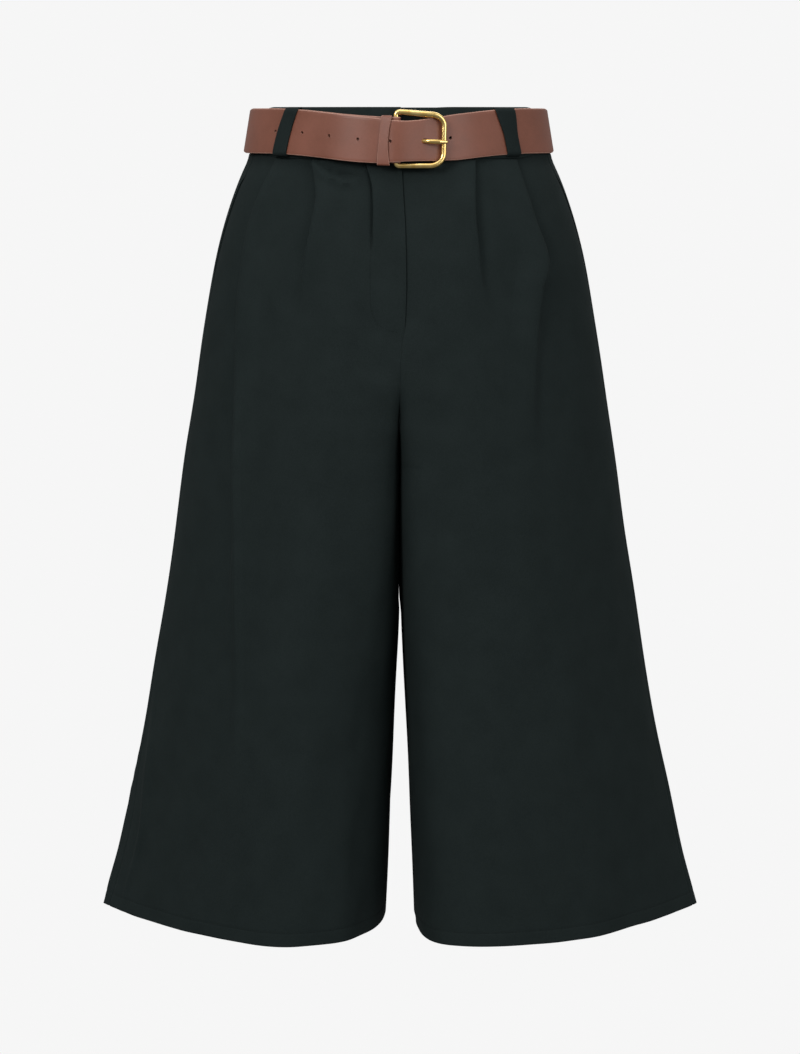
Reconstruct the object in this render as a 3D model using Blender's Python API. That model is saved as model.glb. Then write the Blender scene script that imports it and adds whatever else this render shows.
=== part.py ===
"""High-waisted, pleated, wide-leg bermuda shorts with their own leather belt, filled out with no wearer.

+Z is up, the front faces -Y and the wearer's left is +X.  The origin is at the middle of the
waistband, halfway up its height, where a waist holds the garment.  Sizes are metres.

A half section of the garment runs from the centre back (or the back inseam) round the side to the
centre front (or the front inseam).  A place on the cloth is (side, z, u, lift): the wearer's side,
the height, the distance along the section from its widest point (front positive, back negative),
and the distance out of the plain outer face.
"""
import math
from collections import namedtuple

import bmesh
import bpy
import numpy as np

RIGHT, LEFT = -1.0, 1.0                 # the wearer's sides, as the sign of X
FRONT, BACK = 1.0, -1.0

# ------------------------------------------------------------------ cloth sizes
WALL = 0.0018                           # cloth of a panel
SEAM = 0.0003                           # pieces stand this far apart where they are sewn
BAND_TOP, BAND_BOTTOM = 0.021, -0.021   # waistband, 42 mm wide
BAND_INNER, BAND_OUTER = -0.0020, 0.0006    # lifts of its two faces
HEM_Z = -0.6655

# The form: half width at the side, heading of the section there (90 runs straight forward), and for
# the front and the back the depth and the distance of the deepest point from the centre plane;
# gap is half the space between the legs.
Level = namedtuple("Level", "z side heading front crest_front back crest_back gap")
LEVELS = (
    Level(+0.0210, 0.1205, 90.0, 0.0860, 0.018, 0.0860, 0.018, 0.00015),
    Level(-0.0210, 0.1275, 90.0, 0.0890, 0.020, 0.0900, 0.020, 0.00015),
    Level(-0.0400, 0.1357, 90.0, 0.0950, 0.022, 0.0980, 0.024, 0.00015),
    Level(-0.0730, 0.1472, 90.0, 0.1020, 0.026, 0.1100, 0.034, 0.00015),
    Level(-0.1070, 0.1560, 89.0, 0.1070, 0.032, 0.1190, 0.046, 0.00015),
    Level(-0.1570, 0.1651, 88.0, 0.1120, 0.040, 0.1280, 0.058, 0.00015),
    Level(-0.2250, 0.1756, 86.0, 0.1165, 0.050, 0.1320, 0.066, 0.00020),
    Level(-0.2940, 0.1866, 83.0, 0.1200, 0.058, 0.1330, 0.070, 0.00025),
    Level(-0.3630, 0.1967, 80.0, 0.1235, 0.064, 0.1335, 0.074, 0.00030),
    Level(-0.4150, 0.2050, 77.0, 0.1260, 0.068, 0.1340, 0.076, 0.00125),
    Level(-0.4850, 0.2170, 73.0, 0.1295, 0.073, 0.1350, 0.079, 0.00470),
    Level(-0.5560, 0.2317, 68.0, 0.1330, 0.077, 0.1360, 0.081, 0.00780),
    Level(-0.6100, 0.2440, 63.0, 0.1352, 0.080, 0.1370, 0.082, 0.01020),
    Level(HEM_Z, 0.2590, 58.0, 0.1375, 0.082, 0.1380, 0.083, 0.01220),
)

# Handles of the section's curves, as shares: from the side, at the deepest point on its outer and on
# its inner side (plain, and turned in between the legs), and at the seam (plain and turned in).
SIDE_HANDLE, CREST_HANDLE = 0.50, 0.65
INNER_HANDLE, INNER_TURNED = 0.40, 0.90
SEAM_HANDLE, SEAM_TURNED = 0.40, 0.93
CURVE_POINTS = 65                       # points of each of the section's curves

# The centre seams turn under the body from DIVE_Z to the crotch point, then the inseams run down.
DIVE_Z, CROTCH_Z = -0.185, -0.270
CROTCH_Y = 0.010                        # the crotch point lies behind the middle of the sides
CROTCH_ROUND = 2.2                      # power of the rounded seam curve
TURN_SHARE = 1.5                        # the cloth has turned square by 1 / this share of the dive

# The inner walls of the legs lean together sideways, so that no straight slit runs between them.
LEAN = 0.0016
LEAN_REACH_X, LEAN_REACH_Y = 0.025, 0.080
LEAN_TOP_Z, LEAN_END_Z, LEAN_FADE = -0.205, -0.405, 0.020

# Seam lines.  The fly edge leaves the centre by x; a side seam lies u in front of the widest point.
FlyRow = namedtuple("FlyRow", "z x")
FLY_EDGE = (FlyRow(BAND_BOTTOM, 0.0010), FlyRow(-0.0500, 0.0026), FlyRow(-0.0780, 0.0042),
            FlyRow(-0.1180, 0.0050), FlyRow(-0.1580, 0.0037), FlyRow(-0.1760, 0.0012),
            FlyRow(DIVE_Z, 0.0), FlyRow(HEM_Z, 0.0))
FLY_STEP, FLY_STEP_REACH = 0.0009, 0.018   # each side steps this far off the plain face at the edge
FLY_STEP_END, FLY_STEP_FADE = -0.168, 0.020

SideRow = namedtuple("SideRow", "z u")
SIDE_SEAM = {
    RIGHT: (SideRow(BAND_BOTTOM, 0.0225), SideRow(-0.1000, 0.0180), SideRow(-0.1700, 0.0145),
            SideRow(-0.3500, 0.0070), SideRow(-0.5150, 0.0060), SideRow(-0.5910, 0.0160),
            SideRow(-0.6440, 0.0130), SideRow(HEM_Z, 0.0110)),
    LEFT: (SideRow(BAND_BOTTOM, 0.0195), SideRow(-0.1000, 0.0130), SideRow(-0.1700, 0.0110),
           SideRow(-0.3500, 0.0070), SideRow(-0.5150, 0.0060), SideRow(-0.5910, 0.0070),
           SideRow(-0.6440, 0.0080), SideRow(HEM_Z, 0.0080)),
}

# Pleats and long creases.  Each falls along x; cloth on the centre's side stands up by rise and
# drops off over lip towards the side of the body.
Fold = namedtuple("Fold", "z x rise lip")
FOLDS = {
    (RIGHT, FRONT): (
        (Fold(BAND_BOTTOM, 0.1005, 0.0014, 0.0030), Fold(-0.0590, 0.1171, 0.0026, 0.0030),
         Fold(-0.0870, 0.1245, 0.0030, 0.0035), Fold(-0.1390, 0.1311, 0.0032, 0.0045),
         Fold(-0.1830, 0.1342, 0.0032, 0.0060), Fold(-0.3010, 0.1382, 0.0034, 0.0075),
         Fold(-0.3890, 0.1414, 0.0018, 0.0110), Fold(-0.4500, 0.1470, 0.0, 0.0130),
         Fold(HEM_Z, 0.1800, 0.0, 0.0130)),
        (Fold(BAND_BOTTOM, 0.0714, 0.0014, 0.0030), Fold(-0.0500, 0.0668, 0.0032, 0.0030),
         Fold(-0.0740, 0.0717, 0.0030, 0.0040), Fold(-0.1020, 0.0774, 0.0016, 0.0080),
         Fold(-0.1500, 0.0830, 0.0, 0.0120), Fold(HEM_Z, 0.1400, 0.0, 0.0120)),
        (Fold(BAND_BOTTOM, 0.0285, 0.0012, 0.0030), Fold(-0.0460, 0.0243, 0.0026, 0.0030),
         Fold(-0.0820, 0.0270, 0.0018, 0.0060), Fold(-0.1200, 0.0360, 0.0, 0.0100),
         Fold(-0.2250, 0.0620, 0.0, 0.0100), Fold(HEM_Z, 0.1020, 0.0, 0.0100)),
    ),
    (LEFT, FRONT): (
        (Fold(BAND_BOTTOM, 0.0955, 0.0016, 0.0030), Fold(-0.0670, 0.1093, 0.0042, 0.0030),
         Fold(-0.1080, 0.1200, 0.0056, 0.0045), Fold(-0.1280, 0.1165, 0.0040, 0.0070),
         Fold(-0.1680, 0.1150, 0.0028, 0.0090), Fold(-0.2170, 0.1138, 0.0016, 0.0120),
         Fold(-0.2900, 0.1180, 0.0, 0.0140), Fold(HEM_Z, 0.1700, 0.0, 0.0140)),
        (Fold(BAND_BOTTOM, 0.0635, 0.0014, 0.0030), Fold(-0.0540, 0.0617, 0.0032, 0.0030),
         Fold(-0.0980, 0.0663, 0.0020, 0.0070), Fold(-0.1450, 0.0740, 0.0, 0.0110),
         Fold(HEM_Z, 0.1150, 0.0, 0.0110)),
    ),
}
BACK_DARTS = (                          # the same on both sides
    (Fold(BAND_BOTTOM, 0.0800, 0.0012, 0.0022), Fold(-0.0900, 0.0960, 0.0009, 0.0022),
     Fold(-0.1300, 0.1030, 0.0, 0.0040), Fold(HEM_Z, 0.1650, 0.0, 0.0040)),
    (Fold(BAND_BOTTOM, 0.0450, 0.0012, 0.0022), Fold(-0.0900, 0.0600, 0.0009, 0.0022),
     Fold(-0.1300, 0.0680, 0.0, 0.0040), Fold(HEM_Z, 0.1200, 0.0, 0.0040)),
)
FOLDS[(RIGHT, BACK)] = FOLDS[(LEFT, BACK)] = BACK_DARTS
FOLD_RUN, FOLD_TROUGH_RUN = 0.026, 0.018    # width of the raised cloth and of the trough beside it
FOLD_TROUGH = 0.30                      # depth of that trough, as a share of the rise
FOLD_COLUMN = 0.012                     # a mesh column follows the raised cloth at this distance
SIDE_COLUMN = 0.012                     # and one the back's widest part, at this distance behind it
COLUMN_APART = 0.0015                   # least distance between two mesh columns
INNER_SPANS = 8                         # columns from the deepest point to the seam between the legs

# Pocket mouths in the side seams: the back piece stops short there and the pocket piece shows.
POCKET_TOP, POCKET_END, POCKET_FADE = -0.034, -0.128, 0.010
POCKET_SHOWS = 0.0055
POCKET_UNDER_FRONT, POCKET_UNDER_BACK = 0.024, 0.007
POCKET_TOP_Z, POCKET_BOTTOM_Z = -0.0240, -0.1500
POCKET_WALL, POCKET_CLEAR = 0.0013, 0.0010
POCKET_ROWS, POCKET_COLUMNS = 8, 6

PANEL_ROWS = (-0.030, -0.040, -0.052, -0.066, -0.080, -0.095, -0.108, -0.122, -0.138, -0.156,
              -0.174, -0.192, -0.210, -0.228, -0.244, -0.256, -0.2645, -0.270, -0.290, -0.330,
              -0.375, -0.415, -0.465, -0.515, -0.560, -0.610)

# ------------------------------------------------------------------ waistband and belt sizes
# Along the waist, a distance runs from the centre front, first round the wearer's right side.
BAND_STATIONS = 76
BAND_START, BAND_OVERLAP, BAND_RAMP = -0.0006, 0.036, 0.060    # the right end laps over the left end

BELT_HALF = 0.019                       # half of the 38 mm strap
LEATHER, LEATHER_SKIVED = 0.0025, 0.0014    # the strap, and its end thinned to turn round the bar
BELT_SIDE_Z, BELT_SAG, BELT_SAG_HALF = 0.0005, 0.0072, 0.1150  # the strap dips in front
CLEAR = 0.0003                          # between one layer of the belt and the next
STRAP_STEP = 0.0110
BAR_R = 0.0021
HEEL, END = 0.0034, -0.0366             # distances of the buckle's two upright bars
TAB_LIFT, TAB_END = 0.0039, 0.0450      # the strap's thinned end, turned in under the strap
HEEL_LIFT = TAB_LIFT + LEATHER_SKIVED + CLEAR + BAR_R
END_LIFT = 0.0092
BUCKLE_Z, BUCKLE_HALF = -0.0058, 0.0226
END_CORNER, HEEL_CORNER = 0.0085, 0.0028   # the heel bar is straight all along the strap's fold
BUCKLE_CORNER_STEPS = 4
PRONG_R, PRONG_HOOK = 0.0014, (50, 63, 76, 90)  # its hook's angles round the heel bar, in degrees
BAR_SIDES = 8
ALONG_DEPTH = 0.3                       # a bar this near to running along Y is drawn from Z instead
STRIP_HALF = 0.0019                     # half height of the strip that holds the strap's holes
WRAP_SLOT = 0.0070                      # the slot for the prong's hook ends at this distance
HOLE_R, HOLE_CELL, HOLE_SIDES = 0.0016, 0.0024, 8      # two sides to each side of its cell
HOLES = (-0.0425, 0.0321, 0.0575, 0.0829, 0.1083)
PRONG_SLOT = (-0.0205, -0.0135)
STRIP_START, STRIP_END = -0.0520, 0.1150    # the strip's two ends
STRIP_AFTER = 0.0040                    # length of the strip past the wrap's slot
WRAP_STEPS = 6
TIP, TIP_LENGTH = 0.2050, 0.0300        # the free end lies round the wearer's right side
TIP_STEPS, TIP_NARROWEST = (0.40, 0.70, 0.88, 1.00), 0.18
FREE_START = -0.0690                    # the strap is taken as its free end from here on
UNDER_SPARE = 0.0110                    # and as the strap round the body until this much before
KEEPER = (0.0072, 0.0184)
KEEPER_WALL, KEEPER_BEVEL = 0.0013, 0.0006

# Lift of the strap's inner face: first round the body, then at the free end lying on it.
StrapRow = namedtuple("StrapRow", "distance lift")
UNDER_STRAP = (StrapRow(HEEL, 0.0101), StrapRow(0.0184, 0.0075), StrapRow(0.0320, 0.0066),
               StrapRow(0.0460, 0.0056), StrapRow(0.0700, 0.0030), StrapRow(0.1200, 0.0012),
               StrapRow(0.6000, 0.0012))
FREE_STRAP = (StrapRow(-0.0800, 0.0012), StrapRow(-0.0580, 0.0029), StrapRow(-0.0366, 0.0037),
              StrapRow(-0.0180, 0.0085), StrapRow(HEEL, 0.0133), StrapRow(0.0184, 0.0105),
              StrapRow(0.0320, 0.0096), StrapRow(0.0460, 0.0086), StrapRow(0.0700, 0.0060),
              StrapRow(0.1200, 0.0042), StrapRow(0.3000, 0.0042))
# The prong's path after its hook: distance from the centre front, and lift.
PRONG_PATH = ((-0.0010, 0.0101), (-0.0060, 0.0085), (-0.0110, 0.0076), (-0.0138, 0.0083),
              (-0.0165, 0.0102), (-0.0190, 0.0121), (-0.0225, 0.0129), (-0.0300, 0.0130),
              (-0.0366, 0.0131), (-0.0392, 0.0125))

LOOP_WIDTH, LOOP_WALL, LOOP_CLEAR, LOOP_ROUND = 0.0112, 0.0011, 0.0005, 0.0018
Loop = namedtuple("Loop", "name distance")
LOOPS = (Loop("loop_right_front", 0.1037), Loop("loop_left_front", -0.1000),
         Loop("loop_right_back", 0.2350), Loop("loop_left_back", -0.2350),
         Loop("loop_centre_back", 0.3400))

# ------------------------------------------------------------------ colours (linear)
CLOTH_COLOUR = (0.0130, 0.0185, 0.0180, 1.0)
POCKET_COLOUR = (0.0160, 0.0220, 0.0215, 1.0)
LEATHER_COLOUR = (0.1980, 0.0840, 0.0600, 1.0)
BRASS_COLOUR = (0.7200, 0.5000, 0.2000, 1.0)

for old in list(bpy.data.objects):
    bpy.data.objects.remove(old)


# ------------------------------------------------------------------ curves and tables
def table_value(rows, name, at):
    """A column of a table against its first column, as a smooth curve that never overshoots."""
    places = [row[0] for row in rows]
    values = [getattr(row, name) for row in rows]
    if places[0] > places[-1]:
        places, values = places[::-1], values[::-1]
    at = min(max(at, places[0]), places[-1])
    i = next(k for k in range(len(rows) - 1) if at <= places[k + 1])

    def slope(k):
        if k in (0, len(rows) - 1):
            k = min(max(k, 1), len(rows) - 1)
            return (values[k] - values[k - 1]) / (places[k] - places[k - 1])
        before = (values[k] - values[k - 1]) / (places[k] - places[k - 1])
        after = (values[k + 1] - values[k]) / (places[k + 1] - places[k])
        return 0.0 if before * after <= 0.0 else 2.0 * before * after / (before + after)

    run = places[i + 1] - places[i]
    t = (at - places[i]) / run
    return (values[i] * (1 + 2 * t) * (1 - t) ** 2 + slope(i) * run * t * (1 - t) ** 2
            + values[i + 1] * t * t * (3 - 2 * t) - slope(i + 1) * run * t * t * (1 - t))


def ease(t):
    """0 to 1 with level ends."""
    t = min(max(t, 0.0), 1.0)
    return t * t * (3.0 - 2.0 * t)


def bell(distance, reach):
    """1 at no distance, 0 at reach and beyond."""
    return 0.5 + 0.5 * math.cos(math.pi * min(abs(distance) / reach, 1.0))


def bezier(points, count):
    t = np.linspace(0.0, 1.0, count)[:, None]
    a, b, c, d = (np.array(p) for p in points)
    return (1 - t) ** 3 * a + 3 * (1 - t) ** 2 * t * b + 3 * (1 - t) * t ** 2 * c + t ** 3 * d


# ------------------------------------------------------------------ the form of the garment
def seam_place(z, depth, behind):
    """Depth of a centre seam or inseam at a height, and how far the cloth has turned in there."""
    dive = min(max((DIVE_Z - z) / (DIVE_Z - CROTCH_Z), 0.0), 1.0)
    seam = (depth + behind) * (1.0 - dive ** CROTCH_ROUND) ** (1.0 / CROTCH_ROUND) - behind
    return seam, math.radians(90.0) * ease(dive * TURN_SHARE)


def half_curve(z, depth, crest, behind):
    """Points (x, depth) from the widest point to the seam, for the front or for the back."""
    side, gap = table_value(LEVELS, "side", z), table_value(LEVELS, "gap", z)
    heading = math.radians(table_value(LEVELS, "heading", z))
    seam, turn = seam_place(z, depth, behind)
    reach = SIDE_HANDLE * depth
    outer = bezier([(side, 0.0), (side - reach * math.cos(heading), reach * math.sin(heading)),
                    (side + CREST_HANDLE * (crest - side), depth), (crest, depth)], CURVE_POINTS)
    turned = turn / math.radians(90.0)
    flat = crest - gap
    reach = SEAM_HANDLE * flat * (1.0 - turned) + SEAM_TURNED * (depth - seam) * turned
    inward = INNER_HANDLE + (INNER_TURNED - INNER_HANDLE) * turned
    inner = bezier([(crest, depth), (crest - inward * flat, depth),
                    (gap + reach * math.cos(turn), seam + reach * math.sin(turn)), (gap, seam)],
                   CURVE_POINTS)
    return outer, inner


class Section:
    """The plain outer face at one height, from the back seam round the side to the front seam."""

    def __init__(self, z):
        self.z = z
        outer, inner = half_curve(z, table_value(LEVELS, "front", z),
                                  table_value(LEVELS, "crest_front", z), CROTCH_Y)
        back_outer, back_inner = half_curve(z, table_value(LEVELS, "back", z),
                                            table_value(LEVELS, "crest_back", z), -CROTCH_Y)
        front = np.vstack([outer, inner[1:]])
        back = np.vstack([back_outer, back_inner[1:]]) * (1.0, -1.0)
        points = np.vstack([back[::-1], front[1:]])
        if z > DIVE_Z:                  # the front runs on across the centre, for the fly edge
            beyond = front[::-1][1:] * (-1.0, 1.0)
            points = np.vstack([points, beyond])
        lengths = np.hypot(*np.diff(points, axis=0).T)
        self.u = np.concatenate([[0.0], np.cumsum(lengths)])
        self.u -= self.u[len(back) - 1]
        self.points = points
        steps = np.gradient(points, self.u, axis=0)
        steps /= np.hypot(*steps.T)[:, None]
        self.normals = np.stack([steps[:, 1], -steps[:, 0]], axis=1)
        self.back_seam = self.u[0]
        self.front_seam = self.u[len(back) + len(front) - 2]
        step = (CURVE_POINTS - 1) // INNER_SPANS
        crest = len(back) + len(outer) - 2
        self.front_inner = self.u[crest:crest + CURVE_POINTS:step]
        self.back_inner = self.u[:CURVE_POINTS:step]

    def u_at_x(self, x, face):
        """Where the front (or back) face stands at a distance from the centre plane."""
        middle = int(np.argmin(np.abs(self.u)))
        if face == FRONT:
            return float(np.interp(-x, -self.points[middle:, 0], self.u[middle:]))
        return float(np.interp(x, self.points[:middle + 1, 0], self.u[:middle + 1]))

    def place(self, side, u, lift):
        x, forward = (np.interp(u, self.u, self.points[:, k]) for k in (0, 1))
        normal = np.array([np.interp(u, self.u, self.normals[:, k]) for k in (0, 1)])
        normal /= np.hypot(*normal)
        x, forward = x + lift * normal[0], forward + lift * normal[1]
        fade = ease((LEAN_TOP_Z - self.z) / LEAN_FADE) * ease((self.z - LEAN_END_Z) / LEAN_FADE)
        lean = LEAN * fade * math.exp(-(x / LEAN_REACH_X) ** 2) * bell(forward, LEAN_REACH_Y)
        return (side * x - lean, -forward, self.z)


def fold_relief(side, face, section, u):
    """How far the pleats and creases lift the cloth at a place."""
    lift = 0.0
    for fold in FOLDS[(side, face)]:
        rise = table_value(fold, "rise", section.z)
        lip = table_value(fold, "lip", section.z)
        edge = section.u_at_x(table_value(fold, "x", section.z), face)
        toward_centre = (u - edge) * face
        if toward_centre >= 0.0:
            lift += rise * bell(toward_centre, FOLD_RUN)
        elif toward_centre > -lip:
            lift += rise * (1.0 - (1.0 + FOLD_TROUGH) * ease(-toward_centre / lip))
        else:
            lift -= rise * FOLD_TROUGH * bell(toward_centre + lip, FOLD_TROUGH_RUN)
    return lift


def fly_edge_u(side, section):
    """The front edge of a front piece, half a seam's gap short of the fly line."""
    off_centre = table_value(FLY_EDGE, "x", section.z)
    return section.front_seam - side * off_centre - SEAM / 2.0


def fly_relief(side, section, u):
    """The right front stands up at the fly edge and the left front sinks behind it."""
    fade = ease((section.z - FLY_STEP_END) / FLY_STEP_FADE)
    return -side * FLY_STEP * fade * bell(u - fly_edge_u(side, section), FLY_STEP_REACH)


def pocket_open(z):
    return ease((POCKET_TOP - z) / POCKET_FADE) * ease((z - POCKET_END) / POCKET_FADE)


# ------------------------------------------------------------------ solids
def material(name, colour, roughness, metallic=0.0):
    made = bpy.data.materials.new(name)
    made.use_nodes = True
    shader = made.node_tree.nodes["Principled BSDF"]
    shader.inputs["Base Color"].default_value = colour
    shader.inputs["Roughness"].default_value = roughness
    shader.inputs["Metallic"].default_value = metallic
    return made


CLOTH = material("cloth", CLOTH_COLOUR, 0.85)
POCKET_CLOTH = material("pocket_cloth", POCKET_COLOUR, 0.85)
LEATHER_SKIN = material("leather", LEATHER_COLOUR, 0.5)
BRASS = material("brass", BRASS_COLOUR, 0.25, 1.0)


def solid(name, points, faces, surface):
    """One closed body from points and polygons, with its faces turned out."""
    shape = bmesh.new()
    corners = [shape.verts.new(point) for point in points]
    for face in faces:
        shape.faces.new([corners[i] for i in face])
    bmesh.ops.recalc_face_normals(shape, faces=shape.faces)
    if shape.calc_volume(signed=True) < 0.0:
        bmesh.ops.reverse_faces(shape, faces=shape.faces)
    mesh = bpy.data.meshes.new(name)
    shape.to_mesh(mesh)
    shape.free()
    mesh.materials.append(surface)
    made = bpy.data.objects.new(name, mesh)
    bpy.context.collection.objects.link(made)
    return made


def wall(name, outer, inner, surface):
    """A cloth wall between two grids of points with the same rows and columns."""
    rows, columns = len(outer), len(outer[0])
    points = [p for row in outer for p in row] + [p for row in inner for p in row]
    offset = rows * columns
    faces = []
    for i in range(rows - 1):
        for j in range(columns - 1):
            a, b = i * columns + j, (i + 1) * columns + j
            faces.append((a, a + 1, b + 1, b))
            faces.append((offset + a, offset + b, offset + b + 1, offset + a + 1))
    rim = [(0, j) for j in range(columns)] + [(i, columns - 1) for i in range(1, rows)]
    rim += [(rows - 1, j) for j in range(columns - 2, -1, -1)] + [(i, 0) for i in range(rows - 2, 0, -1)]
    for k, (i, j) in enumerate(rim):
        m, n = rim[(k + 1) % len(rim)]
        a, b = i * columns + j, m * columns + n
        faces.append((a, offset + a, offset + b, b))
    return solid(name, points, faces, surface)


def spread(stops):
    """Column places from (place, spans to the next stop), with the stops kept apart."""
    kept = [stops[0]]
    for place, spans in stops[1:]:
        kept.append((max(place, kept[-1][0] + COLUMN_APART), spans))
    places = []
    for (here, spans), (after, _) in zip(kept, kept[1:]):
        places += [here + (after - here) * k / spans for k in range(spans)]
    return places + [kept[-1][0]]


def front_columns(side, section):
    """From the side seam along the pleats to the deepest point, and on to the fly or the inseam."""
    stops = [(table_value(SIDE_SEAM[side], "u", section.z) + SEAM / 2.0, 3)]
    for fold in FOLDS[(side, FRONT)]:
        edge = section.u_at_x(table_value(fold, "x", section.z), FRONT)
        lip = table_value(fold, "lip", section.z)
        stops += [(edge - lip, 1), (edge, 1), (edge + FOLD_COLUMN, 2)]
    places = spread(stops + [(section.front_inner[0], 0)])
    inner = (section.front_inner - section.front_inner[0]) / np.ptp(section.front_inner)
    start, reach = places[-1], fly_edge_u(side, section) - places[-1]
    return places[:-1] + [start + reach * share for share in inner]


def back_columns(side, section):
    """From the centre back or the inseam by the darts to the side seam, past the widest point."""
    seam = table_value(SIDE_SEAM[side], "u", section.z) - SEAM / 2.0
    seam -= POCKET_SHOWS * pocket_open(section.z)
    inner = (section.back_inner - section.back_inner[0]) / np.ptp(section.back_inner)
    start = section.back_inner[0] + SEAM / 2.0
    places = [start + (section.back_inner[-1] - start) * share for share in inner]
    stops = [(places[-1], 1)]
    for fold in reversed(FOLDS[(side, BACK)]):
        edge = section.u_at_x(table_value(fold, "x", section.z), BACK)
        lip = table_value(fold, "lip", section.z)
        stops += [(edge, 1), (edge + lip, 2)]
    stops += [(-SIDE_COLUMN, 1), (0.0, 2), (seam, 0)]
    return places[:-1] + spread(stops)


def panel(name, side, face, columns_at):
    """A front or back piece: rows from the waistband to the hem, columns along its folds."""
    outer, inner = [], []
    for z in (BAND_BOTTOM - SEAM,) + PANEL_ROWS + (HEM_Z,):
        section = Section(z)
        outer_row, inner_row = [], []
        for u in columns_at(side, section):
            lift = fold_relief(side, face, section, u)
            if face == FRONT:
                lift += fly_relief(side, section, u)
            outer_row.append(section.place(side, u, lift))
            inner_row.append(section.place(side, u, lift - WALL))
        outer.append(outer_row)
        inner.append(inner_row)
    return wall(name, outer, inner, CLOTH)


def pocket(name, side):
    """The pocket's piece that shows in the mouth and runs under both edges of it."""
    outer, inner = [], []
    lift = -WALL - POCKET_CLEAR
    for i in range(POCKET_ROWS):
        section = Section(POCKET_TOP_Z + (POCKET_BOTTOM_Z - POCKET_TOP_Z) * i / (POCKET_ROWS - 1))
        mouth = table_value(SIDE_SEAM[side], "u", section.z)
        places = np.linspace(mouth - POCKET_SHOWS - POCKET_UNDER_BACK, mouth + POCKET_UNDER_FRONT,
                             POCKET_COLUMNS)
        outer.append([section.place(side, u, lift) for u in places])
        inner.append([section.place(side, u, lift - POCKET_WALL) for u in places])
    return wall(name, outer, inner, POCKET_CLOTH)


# ------------------------------------------------------------------ waistband, belt and buckle
BAND_SECTIONS = {z: Section(z) for z in (BAND_TOP, BAND_BOTTOM)}
HALF_FRONT = BAND_SECTIONS[BAND_BOTTOM].front_seam
HALF_BACK = -BAND_SECTIONS[BAND_BOTTOM].back_seam
GIRTH = 2.0 * (HALF_FRONT + HALF_BACK)


def band_place(side, share, lift, z):
    """A place on the waistband's slope, carried on straight past its two edges for the belt."""
    ends = []
    for level, section in BAND_SECTIONS.items():
        reach = section.front_seam if share > 0.0 else -section.back_seam
        ends.append(np.array(section.place(side, share * reach, lift)))
    up = (z - BAND_BOTTOM) / (BAND_TOP - BAND_BOTTOM)
    x, y = (ends[1] + (ends[0] - ends[1]) * up)[:2]
    return (float(x), float(y), z)


def waist_place(distance, lift, z):
    """A place on the waistband's slope by its distance from the centre front."""
    distance %= GIRTH
    if distance < HALF_FRONT + HALF_BACK:
        side, u = RIGHT, HALF_FRONT - distance
    else:
        side, u = LEFT, distance - HALF_FRONT - 2.0 * HALF_BACK
    return band_place(side, u / (HALF_FRONT if u > 0.0 else HALF_BACK), lift, z)


def band_over(distance):
    """How far the band's right end stands up over its left end."""
    return (1.0 - ease((distance - BAND_OVERLAP) / BAND_RAMP)) * (BAND_OUTER - BAND_INNER + SEAM)


def waistband():
    outer, inner = [], []
    for k in range(BAND_STATIONS):
        distance = BAND_START + (GIRTH + BAND_OVERLAP) * k / (BAND_STATIONS - 1)
        lift = band_over(distance)
        edges = (BAND_BOTTOM, BAND_TOP)
        outer.append([waist_place(distance, BAND_OUTER + lift, z) for z in edges])
        inner.append([waist_place(distance, BAND_INNER + lift, z) for z in edges])
    return wall("waistband", outer, inner, CLOTH)


def belt_middle(distance):
    """Height of the strap's middle."""
    x, y, _ = waist_place(distance, 0.0, 0.0)
    return BELT_SIDE_Z - (BELT_SAG * bell(x, BELT_SAG_HALF) if y < 0.0 else 0.0)


def under_lift(distance):
    return table_value(UNDER_STRAP, "lift", distance)


def free_lift(distance):
    return table_value(FREE_STRAP, "lift", distance)


Station = namedtuple("Station", "distance lift thickness half strip cut")   # cut: what follows it


def stations_between(start, end, marks=()):
    """Even steps from start to end, with the marked places among them."""
    places = {start, end, *marks}
    count = max(1, round((end - start) / STRAP_STEP))
    for k in range(1, count):
        place = start + (end - start) * k / count
        if min(abs(place - mark) for mark in places) > 0.4 * STRAP_STEP:
            places.add(place)
    return sorted(places)


def strap_stations():
    """The strap's middle line: its turned end, the wrap, once round the body, and the free end."""
    line = []
    strip_end = WRAP_SLOT + STRIP_AFTER
    for distance in reversed(stations_between(WRAP_SLOT, TAB_END, (strip_end,))):
        line.append(Station(distance, TAB_LIFT + LEATHER_SKIVED / 2.0, LEATHER_SKIVED, BELT_HALF,
                            distance <= strip_end, "slot" if distance == WRAP_SLOT else ""))
    for k in range(WRAP_STEPS + 1):
        angle = math.pi * k / WRAP_STEPS
        thickness = LEATHER_SKIVED + (LEATHER - LEATHER_SKIVED) * k / WRAP_STEPS
        radius = BAR_R + CLEAR + thickness / 2.0
        line.append(Station(HEEL - radius * math.sin(angle), HEEL_LIFT - radius * math.cos(angle),
                            thickness, BELT_HALF, True, "slot"))
    for distance in stations_between(WRAP_SLOT, GIRTH + FREE_START - UNDER_SPARE, (strip_end,)):
        line.append(Station(distance, under_lift(distance) + LEATHER / 2.0, LEATHER, BELT_HALF,
                            distance <= strip_end, ""))
    marks = set(PRONG_SLOT) | {STRIP_START, STRIP_END, HEEL}
    for hole in HOLES:
        marks |= {hole - HOLE_CELL, hole + HOLE_CELL}
    cuts = {hole - HOLE_CELL: "hole" for hole in HOLES}
    cuts[PRONG_SLOT[0]] = "slot"
    body_end = TIP - TIP_LENGTH
    for distance in stations_between(FREE_START, body_end, marks):
        line.append(Station(distance, free_lift(distance) + LEATHER / 2.0, LEATHER, BELT_HALF,
                            STRIP_START <= distance <= STRIP_END, cuts.get(distance, "")))
    for along in TIP_STEPS:
        distance = body_end + along * TIP_LENGTH
        half = BELT_HALF * max(math.sqrt(1.0 - along ** 2), TIP_NARROWEST)
        line.append(Station(distance, free_lift(distance) + LEATHER / 2.0, LEATHER, half, False, ""))
    return line


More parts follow.
